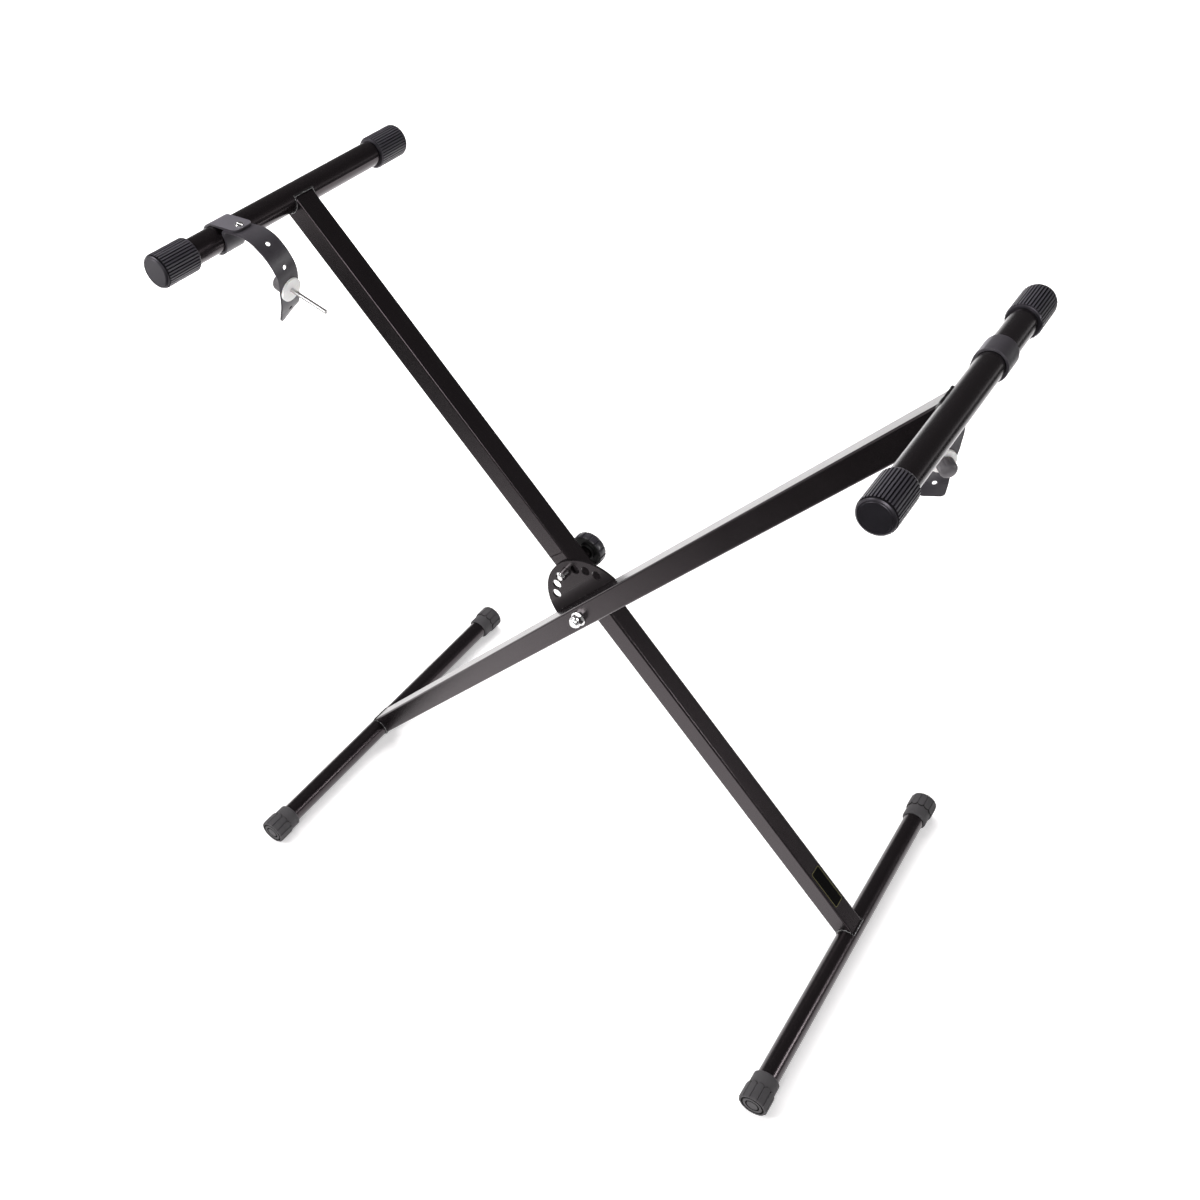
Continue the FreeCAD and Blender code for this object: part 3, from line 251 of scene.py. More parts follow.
bead_coat, tree, shader = new_material("thick_powder_coat")
place = add_node(tree, "TexCoord").outputs["Object"]
pool = add_node(tree, "TexNoise", {"Vector": place, "Scale": 1 / 0.002, "Detail": 2.0})
tone = add_node(tree, "ValToRGB", {"Fac": pool.outputs["Fac"]})
tone.color_ramp.elements[0].color = linear("#121112")
tone.color_ramp.elements[1].color = linear("#1c1a1b")
tree.links.new(tone.outputs["Color"], shader.inputs["Base Color"])
shader.inputs["Roughness"].default_value = 0.12
shader.inputs["IOR"].default_value = 1.8


def deselect_all():
    """Leaves nothing selected."""
    for obj in bpy.context.selected_objects:
        obj.select_set(False)


def lay_bead(name, points, closed, radius, body, coat):
    """A rippled bead along a line of points. Its ripples vary, and an open bead has thin ends."""
    path = [Vector(point) for point in points]
    if closed:
        path.append(path[0])
    ripples = []
    for start, end in zip(path, path[1:]):
        count = max(1, round((end - start).length / (ripple_length / 2)))
        ripples += [start.lerp(end, number / count) for number in range(count)]
    last = len(ripples) - 1
    curve = bpy.data.curves.new(name, "CURVE")
    curve.dimensions = "3D"
    curve.bevel_depth = radius
    curve.bevel_resolution = 2
    curve.use_fill_caps = True
    spline = curve.splines.new("POLY")
    spline.points.add(last)
    spline.use_cyclic_u = closed
    for number, (point, place) in enumerate(zip(spline.points, ripples)):
        point.co = (*place, 1.0)
        wave = 1.0 if number % 2 else 0.72
        point.radius = wave * (1 + 0.16 * math.sin(number * 1.7) + 0.1 * math.sin(number * 0.61))
        if not closed:
            point.radius *= min(1.0, 0.35 + 0.25 * min(number, last - number))
    drawn = bpy.data.objects.new(name, curve)
    bpy.context.collection.objects.link(drawn)
    evaluated = drawn.evaluated_get(bpy.context.evaluated_depsgraph_get())
    mesh = bpy.data.meshes.new_from_object(evaluated)
    mesh.name = name
    bpy.data.objects.remove(drawn)
    bead = bpy.data.objects.new(name, mesh)
    bpy.context.collection.objects.link(bead)
    deselect_all()
    bead.select_set(True)
    bpy.context.view_layer.objects.active = bead
    bpy.ops.object.mode_set(mode="EDIT")
    bpy.ops.mesh.select_all(action="SELECT")
    bpy.ops.mesh.remove_doubles(threshold=0.00001)
    bpy.ops.mesh.normals_make_consistent(inside=False)
    bpy.ops.object.mode_set(mode="OBJECT")
    mesh.materials.append(coat)
    for polygon in mesh.polygons:
        polygon.use_smooth = True
    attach(bead, body)


bead_inset, bead_lift, bead_steps = 0.0002, 0.0003, 6
for frame_name, lane, side_of_top in (("front", -leg_lane, 1), ("rear", leg_lane, -1)):
    lift = Vector((side_of_top * math.cos(leg_slope), 0, math.sin(leg_slope)))
    across = Vector((-lift.z, 0, lift.x)) if side_of_top > 0 else Vector((lift.z, 0, -lift.x))
    for tube, centre, inward in (("top", Vector((side_of_top * half_span, lane, top_height)), -lift),
                                 ("base", Vector((-side_of_top * half_span, lane, base_height)), lift)):
        loop = []
        for wall, order in ((-1, 1), (1, -1)):
            for step in range(-bead_steps, bead_steps + 1):
                aside = order * step / bead_steps * (leg_half - bead_inset)
                along = math.sqrt(max(0.0, (tube_radius + bead_lift) ** 2 - aside ** 2))
                loop.append(centre + inward * along + across * aside + Vector((0, wall * leg_half, 0)))
        lay_bead(f"weld_bead_{frame_name}_{tube}", loop, True, bead_radius, f"{frame_name}_frame", bead_coat)

up_front_leg = Vector((math.cos(leg_slope), 0, math.sin(leg_slope)))
plate_face = -0.0018
plate_foot = Vector((-math.sin(leg_slope) * leg_half, plate_face,
                     math.cos(leg_slope) * leg_half + pivot_height))
plate_bead_runs = ((-0.0545, -0.037), (-0.009, 0.008), (0.036, 0.0545))
for number, (first, last) in enumerate(plate_bead_runs, 1):
    ends = [plate_foot + up_front_leg * first, plate_foot + up_front_leg * last]
    lay_bead(f"weld_bead_plate_{number}", ends, False, plate_bead_radius, "front_frame", corner_coat)


# Label: a bare gloss sticker on the rear leg's upper face, with rounded corners and a thin olive rim.
# It is a vinyl film 0.15 mm thick, pressed on after the coat was baked.
label_middle, label_length, label_width, label_film = 0.4375, 0.053, 0.017, 0.00015
label_corner, label_rim, near_middle = 0.002, 0.0009, 0.001
deselect_all()
bpy.ops.mesh.primitive_cube_add(size=1, location=(0, 0, 0))
label = bpy.context.object
label.name = "bare_label"
label.scale = (label_length, label_width, label_film)
bpy.ops.object.transform_apply(location=True, rotation=True, scale=True)
bpy.ops.object.mode_set(mode="EDIT")
bpy.ops.mesh.select_mode(type="EDGE")
bpy.ops.mesh.select_all(action="DESELECT")
shape = bmesh.from_edit_mesh(label.data)
for edge in shape.edges:
    edge.select_set(abs(edge.verts[0].co.z - edge.verts[1].co.z) > label_film / 2)
bmesh.update_edit_mesh(label.data)
bpy.ops.mesh.bevel(offset=label_corner, segments=6, affect="EDGES")
bpy.ops.mesh.select_mode(type="FACE")
bpy.ops.mesh.select_all(action="DESELECT")
shape = bmesh.from_edit_mesh(label.data)
for face in shape.faces:
    face.select_set(face.normal.z > 0.9)
bmesh.update_edit_mesh(label.data)
bpy.ops.mesh.inset(thickness=label_rim)
bpy.ops.object.mode_set(mode="OBJECT")
down_leg = Vector((math.cos(leg_slope), 0, -math.sin(leg_slope)))
out_of_leg = Vector((math.sin(leg_slope), 0, math.cos(leg_slope)))
label_place = Matrix((down_leg, out_of_leg.cross(down_leg), out_of_leg)).transposed().to_4x4()
label_spot = Vector((0, leg_lane, pivot_height)) + down_leg * label_middle
label_spot += out_of_leg * (leg_half + label_film / 2)
label_place.translation = label_spot
label.data.transform(label_place)
film, tree, shader = new_material("gloss_vinyl_film")
place = add_node(tree, "TexCoord").outputs["Object"]
ink = add_node(tree, "TexNoise", {"Vector": place, "Scale": 1 / 0.008, "Detail": 2.0})
tone = add_node(tree, "ValToRGB", {"Fac": ink.outputs["Fac"]})
tone.color_ramp.elements[0].color = linear("#050505")
tone.color_ramp.elements[1].color = linear("#090909")
tree.links.new(tone.outputs["Color"], shader.inputs["Base Color"])
shader.inputs["Roughness"].default_value = 0.16
shader.inputs["IOR"].default_value = 1.25
rim_ink, tree, shader = new_material("olive_rim_print")
place = add_node(tree, "TexCoord").outputs["Object"]
ink = add_node(tree, "TexNoise", {"Vector": place, "Scale": 1 / 0.004, "Detail": 2.0})
tone = add_node(tree, "ValToRGB", {"Fac": ink.outputs["Fac"]})
tone.color_ramp.elements[0].color = linear("#57542f")
tone.color_ramp.elements[1].color = linear("#67643c")
tree.links.new(tone.outputs["Color"], shader.inputs["Base Color"])
shader.inputs["Roughness"].default_value = 0.25
label.data.materials.append(film)
label.data.materials.append(rim_ink)
for polygon in label.data.polygons:
    lane_offset = abs(polygon.center.y - leg_lane)
    run_offset = abs((polygon.center - label_spot).dot(down_leg))
    inner = lane_offset < near_middle and run_offset < near_middle
    polygon.material_index = 0 if inner else 1
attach(label, "rear_frame")


# Foot caps: injection-moulded grey-black rubber, pushed over the ends of the base tubes.
# The mould was spark-eroded, which leaves a dull skin with a grain of about 0.6 mm. The rings and
# the starts of the pads get a near-black painted shade.
foot_rubber, tree, shader = new_material("moulded_foot_rubber")
place = add_node(tree, "TexCoord").outputs["Object"]
dust = add_node(tree, "TexNoise", {"Vector": place, "Scale": 1 / 0.012, "Detail": 4.0})
tone = add_node(tree, "ValToRGB", {"Fac": dust.outputs["Fac"]})
tone.color_ramp.elements[0].color = linear("#3b393b")
tone.color_ramp.elements[1].color = linear("#474547")
tree.links.new(tone.outputs["Color"], shader.inputs["Base Color"])
grain = add_node(tree, "TexNoise", {"Vector": place, "Scale": 1 / 0.0006, "Detail": 2.0})
relief = add_node(tree, "Bump", {"Height": grain.outputs["Fac"], "Strength": 0.25, "Distance": 0.0002})
tree.links.new(relief.outputs["Normal"], shader.inputs["Normal"])
shader.inputs["Roughness"].default_value = 0.72
shader.inputs["IOR"].default_value = 1.52

# Near-black rubber: painted shade for the ring grooves and the arched starts of the pads.
painted_shade_rubber, tree, shader = new_material("painted_shade_groove_rubber")
place = add_node(tree, "TexCoord").outputs["Object"]
dust = add_node(tree, "TexNoise", {"Vector": place, "Scale": 1 / 0.005, "Detail": 3.0})
tone = add_node(tree, "ValToRGB", {"Fac": dust.outputs["Fac"]})
tone.color_ramp.elements[0].color = linear("#060505")
tone.color_ramp.elements[1].color = linear("#0d0c0c")
tree.links.new(tone.outputs["Color"], shader.inputs["Base Color"])
shader.inputs["Roughness"].default_value = 0.85
shader.inputs["IOR"].default_value = 1.52


def turn_piece(name, sides, rings):
    """A solid of revolution about Z, extruded from a disc through rings of height and radius."""
    deselect_all()
    height, radius = rings[0]
    bpy.ops.mesh.primitive_circle_add(vertices=sides, radius=radius, fill_type="NGON",
                                      location=(0, 0, height))
    piece = bpy.context.object
    piece.name = name
    bpy.ops.object.transform_apply(location=True, rotation=True, scale=True)
    bpy.ops.object.mode_set(mode="EDIT")
    bpy.ops.mesh.select_all(action="SELECT")
    for next_height, next_radius in rings[1:]:
        step = (0, 0, next_height - height)
        bpy.ops.mesh.extrude_region_move(TRANSFORM_OT_translate={"value": step})
        growth = next_radius / radius
        bpy.ops.transform.resize(value=(growth, growth, 1), center_override=(0, 0, next_height))
        height, radius = next_height, next_radius
    bpy.ops.mesh.select_all(action="SELECT")
    bpy.ops.mesh.normals_make_consistent(inside=False)
    bpy.ops.object.mode_set(mode="OBJECT")
    return piece


def shape_columns(piece, sides, repeat, low, high, inner, change):
    """Moves the columns of a turned wall that share a place in each repeat, by a factor and a rise."""
    for place in range(repeat):
        factor, rise = change(min(place, repeat - place))
        if factor == 1 and not rise:
            continue
        bpy.ops.object.mode_set(mode="EDIT")
        bpy.ops.mesh.select_mode(type="VERT")
        bpy.ops.mesh.select_all(action="DESELECT")
        shape = bmesh.from_edit_mesh(piece.data)
        for vertex in shape.verts:
            column = round(math.atan2(vertex.co.y, vertex.co.x) / math.tau * sides) % repeat
            outside = math.hypot(vertex.co.x, vertex.co.y) > inner
            vertex.select_set(outside and column == place and low < vertex.co.z < high)
        shape.select_flush(True)
        bmesh.update_edit_mesh(piece.data)
        bpy.ops.transform.resize(value=(factor, factor, 1), center_override=(0, 0, 0))
        if rise:
            bpy.ops.transform.translate(value=(0, 0, rise))
        bpy.ops.object.mode_set(mode="OBJECT")


def place_copies(piece, places, materials, smooth):
    """Copies of a piece, each with its own mesh, put in place on their bodies. The first piece goes."""
    for name, body, node, matrix in places:
        mesh = piece.data.copy()
        mesh.name = name
        mesh.transform(matrix)
        copy = bpy.data.objects.new(name, mesh)
        bpy.context.collection.objects.link(copy)
        for material in materials:
            mesh.materials.append(material)
        deselect_all()
        copy.select_set(True)
        bpy.context.view_layer.objects.active = copy
        bpy.ops.object.shade_smooth_by_angle(angle=math.radians(smooth))
        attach(copy, body)
        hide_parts(node)
    bpy.data.objects.remove(piece)


def cap_places(kind, reach, height, left_body, right_body):
    """Where the four caps of a kind go: both ends of the left and the right tube."""
    places = []
    for side, middle, body in (("left", -half_span, left_body), ("right", half_span, right_body)):
        for end, turn in (("front", math.radians(90)), ("rear", math.radians(-90))):
            spot = Vector((middle, -reach if end == "front" else reach, height))
            matrix = Matrix.Translation(spot) @ Matrix.Rotation(turn, 4, "X")
            places.append((f"{kind}_{side}_{end}_piece", body, f"{kind}_{side}_{end}", matrix))
    return places


cap_bore, foot_sleeve, foot_flat, base_cap_reach = 0.01252, 0.01525, 0.0165, 0.206
foot_pads, foot_columns = 12, 10
foot_cap = turn_piece("foot_cap", foot_pads * foot_columns, [
    (0.0318, cap_bore), (0.0, cap_bore), (0.0, 0.01365), (0.0006, 0.0143), (0.0016, foot_sleeve),
    (0.0148, foot_sleeve), (0.0150, 0.0156), (0.0158, 0.0163), (0.0166, foot_flat), (0.0344, foot_flat),
    (0.0352, 0.0162), (0.036, 0.0153), (0.036, 0.0139), (0.0357, 0.0137), (0.0336, 0.0136),
    (0.0334, 0.0134), (0.0334, 0.0119), (0.0336, 0.0117), (0.0357, 0.0116), (0.036, 0.0114),
    (0.036, 0.0086), (0.0357, 0.0084), (0.0336, 0.0083), (0.0334, 0.0081), (0.0334, 0.0069),
    (0.0336, 0.0067), (0.0357, 0.0066), (0.036, 0.0064), (0.036, 0.002)])
# The ring grooves and the arched starts of the pads take the near-black material, a painted shade.
for polygon in foot_cap.data.polygons:
    reach, rise = math.hypot(polygon.center.x, polygon.center.y), polygon.center.z
    in_ring = 0.0333 < rise < 0.0358 and (0.0116 < reach < 0.0137 or 0.0066 < reach < 0.0084)
    at_arch = 0.0148 < rise < 0.0156 and reach > 0.0153
    polygon.material_index = 1 if in_ring or at_arch else 0


def foot_pad_change(place):
    """A pad has a flat face and an arched start, and ends in a notch."""
    angle = math.tau / foot_pads / foot_columns * place
    flat = 1 / math.cos(angle)
    return (0.955 if place == foot_columns // 2 else flat), 0


def foot_arch_change(place):
    """How far the start of a pad steps back towards its notches."""
    share = place / (foot_columns / 2)
    return 1, 0.0034 * (1 - math.sqrt(1 - min(share, 1) ** 2))


shape_columns(foot_cap, foot_pads * foot_columns, foot_columns, 0.0164, 0.0362, 0.0152, foot_pad_change)
shape_columns(foot_cap, foot_pads * foot_columns, foot_columns, 0.0147, 0.017, 0.0150, foot_arch_change)
place_copies(foot_cap, cap_places("foot_cap", base_cap_reach, base_height, "front_frame", "rear_frame"),
             (foot_rubber, painted_shade_rubber), 28)


# Grip caps: ribbed black rubber over the ends of the top tubes, which keep the keyboard from sliding.
# A polished mould leaves them smoother than the feet, with a faint bluish bloom on the ribs. The
# grooves and both ends are glossier, and get a darker painted shade.
grip_rubber, tree, shader = new_material("ribbed_grip_rubber")
place = add_node(tree, "TexCoord").outputs["Object"]
bloom = add_node(tree, "TexNoise", {"Vector": place, "Scale": 1 / 0.018, "Detail": 4.0})
tone = add_node(tree, "ValToRGB", {"Fac": bloom.outputs["Fac"]})
tone.color_ramp.elements[0].color = linear("#3f3d43")
tone.color_ramp.elements[1].color = linear("#4a474e")
tree.links.new(tone.outputs["Color"], shader.inputs["Base Color"])
grain = add_node(tree, "TexNoise", {"Vector": place, "Scale": 1 / 0.0005, "Detail": 2.0})
relief = add_node(tree, "Bump", {"Height": grain.outputs["Fac"], "Strength": 0.15, "Distance": 0.0002})
tree.links.new(relief.outputs["Normal"], shader.inputs["Normal"])
shader.inputs["Roughness"].default_value = 0.38
shader.inputs["IOR"].default_value = 1.52

# Darker, glossier rubber: painted shade for the grooves and both ends of the grip caps.
painted_shade_grip_rubber, tree, shader = new_material("glossy_grip_rubber_painted_shade")
place = add_node(tree, "TexCoord").outputs["Object"]
bloom = add_node(tree, "TexNoise", {"Vector": place, "Scale": 1 / 0.012, "Detail": 3.0})
tone = add_node(tree, "ValToRGB", {"Fac": bloom.outputs["Fac"]})
tone.color_ramp.elements[0].color = linear("#151417")
tone.color_ramp.elements[1].color = linear("#1d1c20")
tree.links.new(tone.outputs["Color"], shader.inputs["Base Color"])
shader.inputs["Roughness"].default_value = 0.32
shader.inputs["IOR"].default_value = 1.52
shader.inputs["Specular Tint"].default_value = (0.96, 0.88, 1.0, 1.0)

grip_ribs, grip_columns, grip_radius, top_cap_reach = 36, 4, 0.016, 0.129
grip_cap = turn_piece("grip_cap", grip_ribs * grip_columns, [
    (0.039, cap_bore), (0.0, cap_bore), (0.0, 0.0143), (0.0004, 0.0151), (0.0012, 0.0154),
    (0.0018, grip_radius), (0.0388, grip_radius), (0.0393, 0.0157), (0.0393, 0.0140), (0.0399, 0.0140),
    (0.0400, 0.0148), (0.0402, 0.01515), (0.0407, 0.0152), (0.0410, 0.01505), (0.0418, 0.0139),
    (0.042, 0.0133), (0.042, 0.0130), (0.0417, 0.0128), (0.0417, 0.0125), (0.0419, 0.0122), (0.0419, 0.002)])


def grip_rib_change(place):
    """Every rib is parted from the next by a groove 1.2 mm deep."""
    return (1 if place else 1 - 0.0012 / grip_radius), 0


shape_columns(grip_cap, grip_ribs * grip_columns, grip_columns, 0.0016, 0.0394, 0.0155, grip_rib_change)
# The grooves and both ends take the darker material, a painted shade.
for polygon in grip_cap.data.polygons:
    reach, rise = math.hypot(polygon.center.x, polygon.center.y), polygon.center.z
    in_groove = 0.0016 < rise < 0.0392 and reach < grip_radius - 0.0004
    at_end = rise > 0.0392 or rise < 0.0011
    polygon.material_index = 1 if in_groove or at_end else 0
place_copies(grip_cap, cap_places("grip_cap", top_cap_reach, top_height, "rear_frame", "front_frame"),
             (grip_rubber, painted_shade_grip_rubber), 28)


# Pivot bolt, nut, washers, lock pin and rivets: steel with bright zinc plate.
# The bath leaves them bright and mirror-like, a little cloudy in patches of about 4 mm.
zinc_plate, tree, shader = new_material("bright_zinc_plate")
place = add_node(tree, "TexCoord").outputs["Object"]
film = add_node(tree, "TexNoise", {"Vector": place, "Scale": 1 / 0.004, "Detail": 3.0})
tone = add_node(tree, "ValToRGB", {"Fac": film.outputs["Fac"]})
tone.color_ramp.elements[0].color = linear("#d9d9da")
tone.color_ramp.elements[1].color = linear("#f0efee")
tree.links.new(tone.outputs["Color"], shader.inputs["Base Color"])
rough = add_node(tree, "MapRange", {"Value": film.outputs["Fac"], "To Min": 0.16, "To Max": 0.24})
tree.links.new(rough.outputs["Result"], shader.inputs["Roughness"])
shader.inputs["Metallic"].default_value = 1.0
dress(zinc_plate, "pivot_bolt", "pivot_nut", "pivot_washer_front", "pivot_washer_rear", "lock_pin",
      "strap_rivet_left", "strap_rivet_right")


# Thumbscrew rods, sleeves, ring and spring: plain drawn steel, a little duller than the plated pieces.
# The spring leans on the leg's back wall, and the pin's travel of 15.5 mm squashes it.
drawn_steel, tree, shader = new_material("drawn_steel")
place = add_node(tree, "TexCoord").outputs["Object"]
film = add_node(tree, "TexNoise", {"Vector": place, "Scale": 1 / 0.006, "Detail": 2.0})
rough = add_node(tree, "MapRange", {"Value": film.outputs["Fac"], "To Min": 0.3, "To Max": 0.38})
tree.links.new(rough.outputs["Result"], shader.inputs["Roughness"])
shader.inputs["Base Color"].default_value = linear("#d4d3d2")
shader.inputs["Metallic"].default_value = 1.0
dress(drawn_steel, "pivot_sleeve_front", "pivot_sleeve_rear", "lock_retaining_ring", "lock_spring",
      "thumbscrew_rod_left", "thumbscrew_rod_right")
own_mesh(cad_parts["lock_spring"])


# Washers on the straps and between the legs: turned white nylon.
# It is a little translucent and slightly waxy, and a faint painted glow of emission makes it look lit.
nylon, tree, shader = new_material("turned_nylon_painted_glow")
place = add_node(tree, "TexCoord").outputs["Object"]
wax = add_node(tree, "TexNoise", {"Vector": place, "Scale": 1 / 0.003, "Detail": 3.0})
tone = add_node(tree, "ValToRGB", {"Fac": wax.outputs["Fac"]})
tone.color_ramp.elements[0].color = linear("#dcdcda")
tone.color_ramp.elements[1].color = linear("#efefed")
tree.links.new(tone.outputs["Color"], shader.inputs["Base Color"])
shader.inputs["Roughness"].default_value = 0.38
shader.inputs["Subsurface Weight"].default_value = 0.1
# The emission is a painted glow that lightens the washers.
shader.inputs["Emission Color"].default_value = linear("#f4f2f0")
shader.inputs["Emission Strength"].default_value = 0.16
shader.inputs["Subsurface Scale"].default_value = 0.002
shader.inputs["IOR"].default_value = 1.53
dress(nylon, "strap_washer_left", "strap_washer_right", "friction_washer")


# Lock knob and thumb heads: injection-moulded ABS. The knob is black with a soft sheen and the mould's
# fine grain, about 0.4 mm, and its recess towards the leg is rougher and gets a near-black painted shade.
# The thumb heads are matt grey.
moulded_abs, tree, shader = new_material("moulded_abs")
place = add_node(tree, "TexCoord").outputs["Object"]
flow = add_node(tree, "TexNoise", {"Vector": place, "Scale": 1 / 0.01, "Detail": 3.0})
tone = add_node(tree, "ValToRGB", {"Fac": flow.outputs["Fac"]})
tone.color_ramp.elements[0].color = linear("#29272c")
tone.color_ramp.elements[1].color = linear("#353339")
tree.links.new(tone.outputs["Color"], shader.inputs["Base Color"])
grain = add_node(tree, "TexNoise", {"Vector": place, "Scale": 1 / 0.0004, "Detail": 1.0})
relief = add_node(tree, "Bump", {"Height": grain.outputs["Fac"], "Strength": 0.1, "Distance": 0.0001})
tree.links.new(relief.outputs["Normal"], shader.inputs["Normal"])
shader.inputs["Roughness"].default_value = 0.34
shader.inputs["IOR"].default_value = 1.54

# Near-black, rougher ABS: painted shade for the knob's inner face towards the leg.
painted_shade_abs, tree, shader = new_material("rough_abs_painted_shade")
place = add_node(tree, "TexCoord").outputs["Object"]
flow = add_node(tree, "TexNoise", {"Vector": place, "Scale": 1 / 0.006, "Detail": 2.0})
tone = add_node(tree, "ValToRGB", {"Fac": flow.outputs["Fac"]})
tone.color_ramp.elements[0].color = linear("#040404")
tone.color_ramp.elements[1].color = linear("#090909")
tree.links.new(tone.outputs["Color"], shader.inputs["Base Color"])
shader.inputs["Roughness"].default_value = 0.6

knob_notches, knob_columns, knob_radius = 14, 12, 0.0195
knob = turn_piece("knob", knob_notches * knob_columns, [
    (0.009, 0.00402), (0.0, 0.00402), (0.0, 0.0090), (0.0004, 0.0095), (0.0034, 0.0098), (0.0038, 0.0102),
    (0.0038, 0.0158), (0.0034, 0.0162), (0.0004, 0.0166), (0.0, 0.0170), (0.0, 0.0178), (0.0005, 0.0187),
    (0.0012, 0.0192), (0.0018, knob_radius), (0.0102, knob_radius), (0.0108, 0.0192), (0.0115, 0.0187),
    (0.012, 0.0178), (0.012, 0.0125), (0.0117, 0.0121), (0.0109, 0.0108), (0.0107, 0.0102), (0.0107, 0.002)])


def knob_notch_change(place):
    """The pads for the fingers are parted by notches 1 mm deep."""
    return (1 - 0.001 / knob_radius if place < 2 else 1), 0


shape_columns(knob, knob_notches * knob_columns, knob_columns, 0.0003, 0.0117, 0.0186, knob_notch_change)
# The inner face towards the leg takes the near-black material, a painted shade.
for polygon in knob.data.polygons:
    reach, rise = math.hypot(polygon.center.x, polygon.center.y), polygon.center.z
    polygon.material_index = 1 if rise < 0.0039 and reach < 0.0184 else 0
knob_spot = (-0.031031, 0.03665, 0.421304)
knob_place = Matrix.Translation(knob_spot) @ Matrix.Rotation(math.radians(-90), 4, "X")
place_copies(knob, [("lock_knob_piece", "lock_unit", "lock_knob", knob_place)], (moulded_abs, painted_shade_abs),
             30)

matt_abs, tree, shader = new_material("matt_grey_abs")
place = add_node(tree, "TexCoord").outputs["Object"]
flow = add_node(tree, "TexNoise", {"Vector": place, "Scale": 1 / 0.008, "Detail": 3.0})
tone = add_node(tree, "ValToRGB", {"Fac": flow.outputs["Fac"]})
tone.color_ramp.elements[0].color = linear("#595659")
tone.color_ramp.elements[1].color = linear("#656164")
tree.links.new(tone.outputs["Color"], shader.inputs["Base Color"])
shader.inputs["Roughness"].default_value = 0.48
shader.inputs["IOR"].default_value = 1.54

thumb_flutes, thumb_columns, thumb_radius = 12, 8, 0.008
thumb = turn_piece("thumb_head", thumb_flutes * thumb_columns, [
    (0.0105, 0.00201), (0.0, 0.00201), (0.0, 0.0058), (0.0003, 0.0061), (0.0021, 0.0077),
    (0.0026, thumb_radius), (0.0100, thumb_radius), (0.0110, 0.0079), (0.0121, 0.0075),
    (0.0132, 0.0067), (0.0142, 0.0056), (0.0149, 0.0042), (0.0153, 0.0027), (0.0155, 0.0011)])


def thumb_flute_change(place):
    """The rim has shallow flutes, 0.3 mm deep."""
    return (1 - 0.0003 / thumb_radius if place < 2 else 1), 0


shape_columns(thumb, thumb_flutes * thumb_columns, thumb_columns, 0.0024, 0.0112, 0.0078, thumb_flute_change)
screw_places = []
for side, spot, axis in (("left", (-0.283079, -0.076996, 0.718783), (-0.957755, -0.001588, 0.28758)),
                         ("right", (0.32428, 0.062607, 0.653943), (0.690524, -0.716998, -0.095346))):
    matrix = Vector(axis).to_track_quat("Z", "Y").to_matrix().to_4x4()
    matrix.translation = spot
    screw_places.append((f"thumb_head_{side}_piece", f"screw_{side}_unit", f"thumbscrew_head_{side}", matrix))
place_copies(thumb, screw_places, (matt_abs,), 30)


# Straps: strips of calendered rubber, 24 mm wide and 2.2 mm thick, punched with round holes.
# Each goes round its tube, folds back under its own flap, is riveted there and runs on as a tail.
# The outer face of the flap is paler: a painted sheen.
strap_middle, strap_lower, strap_bend = 0.0139, 0.0115, 0.004
strap_width, strap_thickness, flap_length = 0.024, 0.0022, 0.031
leaving = math.asin((strap_lower - strap_bend) / (strap_middle + strap_bend))
fold_end = (strap_middle + strap_bend) * math.cos(leaving)
rivet_place, tail_start = 0.024, 0.036
loop_runs = [
    (flap_length, 0.0),
    (strap_middle * (math.radians(270) + leaving), math.radians(270) + leaving),
    (strap_bend * (math.radians(90) + leaving), -math.radians(90) - leaving),
    (tail_start - fold_end, 0.0),
]
loop_length = sum(length for length, turn in loop_runs)
tail_stretches = (0.022, 0.025, 0.013, 0.024, 0.013, 0.013)
tail_length = sum(tail_stretches)
steps_in_stretch = 24
flap_corner, tip_corner, edge_round, strip_margin = 0.007, 0.004, 0.00035, 0.004
rivet_hole, screw_hole, flap_hole_place = 0.002, 0.0023, 0.007
screw_hole_places = (0.034, 0.059, 0.084, 0.109)
pale_margin, pale_overrun = 0.0012, 0.012


def loop_place(distance):
    """The strap's middle and left-hand direction on its way round the tube, seen along the tube."""
    x, z, heading = flap_length, strap_middle, math.pi
    for length, turn in loop_runs:
        step = min(distance, length)
        bend = turn * step / length
        if turn:
            radius = length / turn
            x += radius * (math.sin(heading + bend) - math.sin(heading))
            z -= radius * (math.cos(heading + bend) - math.cos(heading))
        else:
            x += step * math.cos(heading)
            z += step * math.sin(heading)
        heading += bend
        distance -= step
        if distance <= 0:
            break
    return Vector((x, 0, z)), Vector((-math.sin(heading), 0, math.cos(heading)))


def tail_places(side, sway, bends, twists):
    """Places down the tail, each with its distance, middle, and length, width and inner directions."""
    middle = Vector((side * tail_start, 0, strap_lower))
    along, across, inner = Vector((side, 0, 0)), Vector((0, 1, 0)), Vector((0, 0, -1))
    distance = 0.0
    places = [(distance, middle, along, across, inner)]
    for length, bend, twist in zip(tail_stretches, bends, twists):
        step = length / steps_in_stretch
        for _ in range(steps_in_stretch):
            half = Quaternion(along.cross(inner), math.radians(bend) / steps_in_stretch / 2)
            along, across, inner = half @ along, half @ across, half @ inner
            middle = middle + along * step
            distance += step
            twisting = Quaternion(across.cross(inner), math.radians(twist) / steps_in_stretch)
            sway_step = math.radians(sway) / steps_in_stretch / len(tail_stretches)
            swaying = Quaternion(along.cross(across), sway_step)
            whole = swaying @ twisting @ half
            along, across, inner = whole @ along, whole @ across, whole @ inner
            places.append((distance, middle, along, across, inner))
    return places


def punch(obj, cutter, operation):
    """Applies a boolean with a cutter, which is then removed."""
    modifier = obj.modifiers.new("punch", "BOOLEAN")
    modifier.operation = operation
    modifier.object = cutter
    modifier.solver = "EXACT"
    bpy.context.view_layer.objects.active = obj
    bpy.ops.object.modifier_apply(modifier=modifier.name)
    bpy.data.objects.remove(cutter)


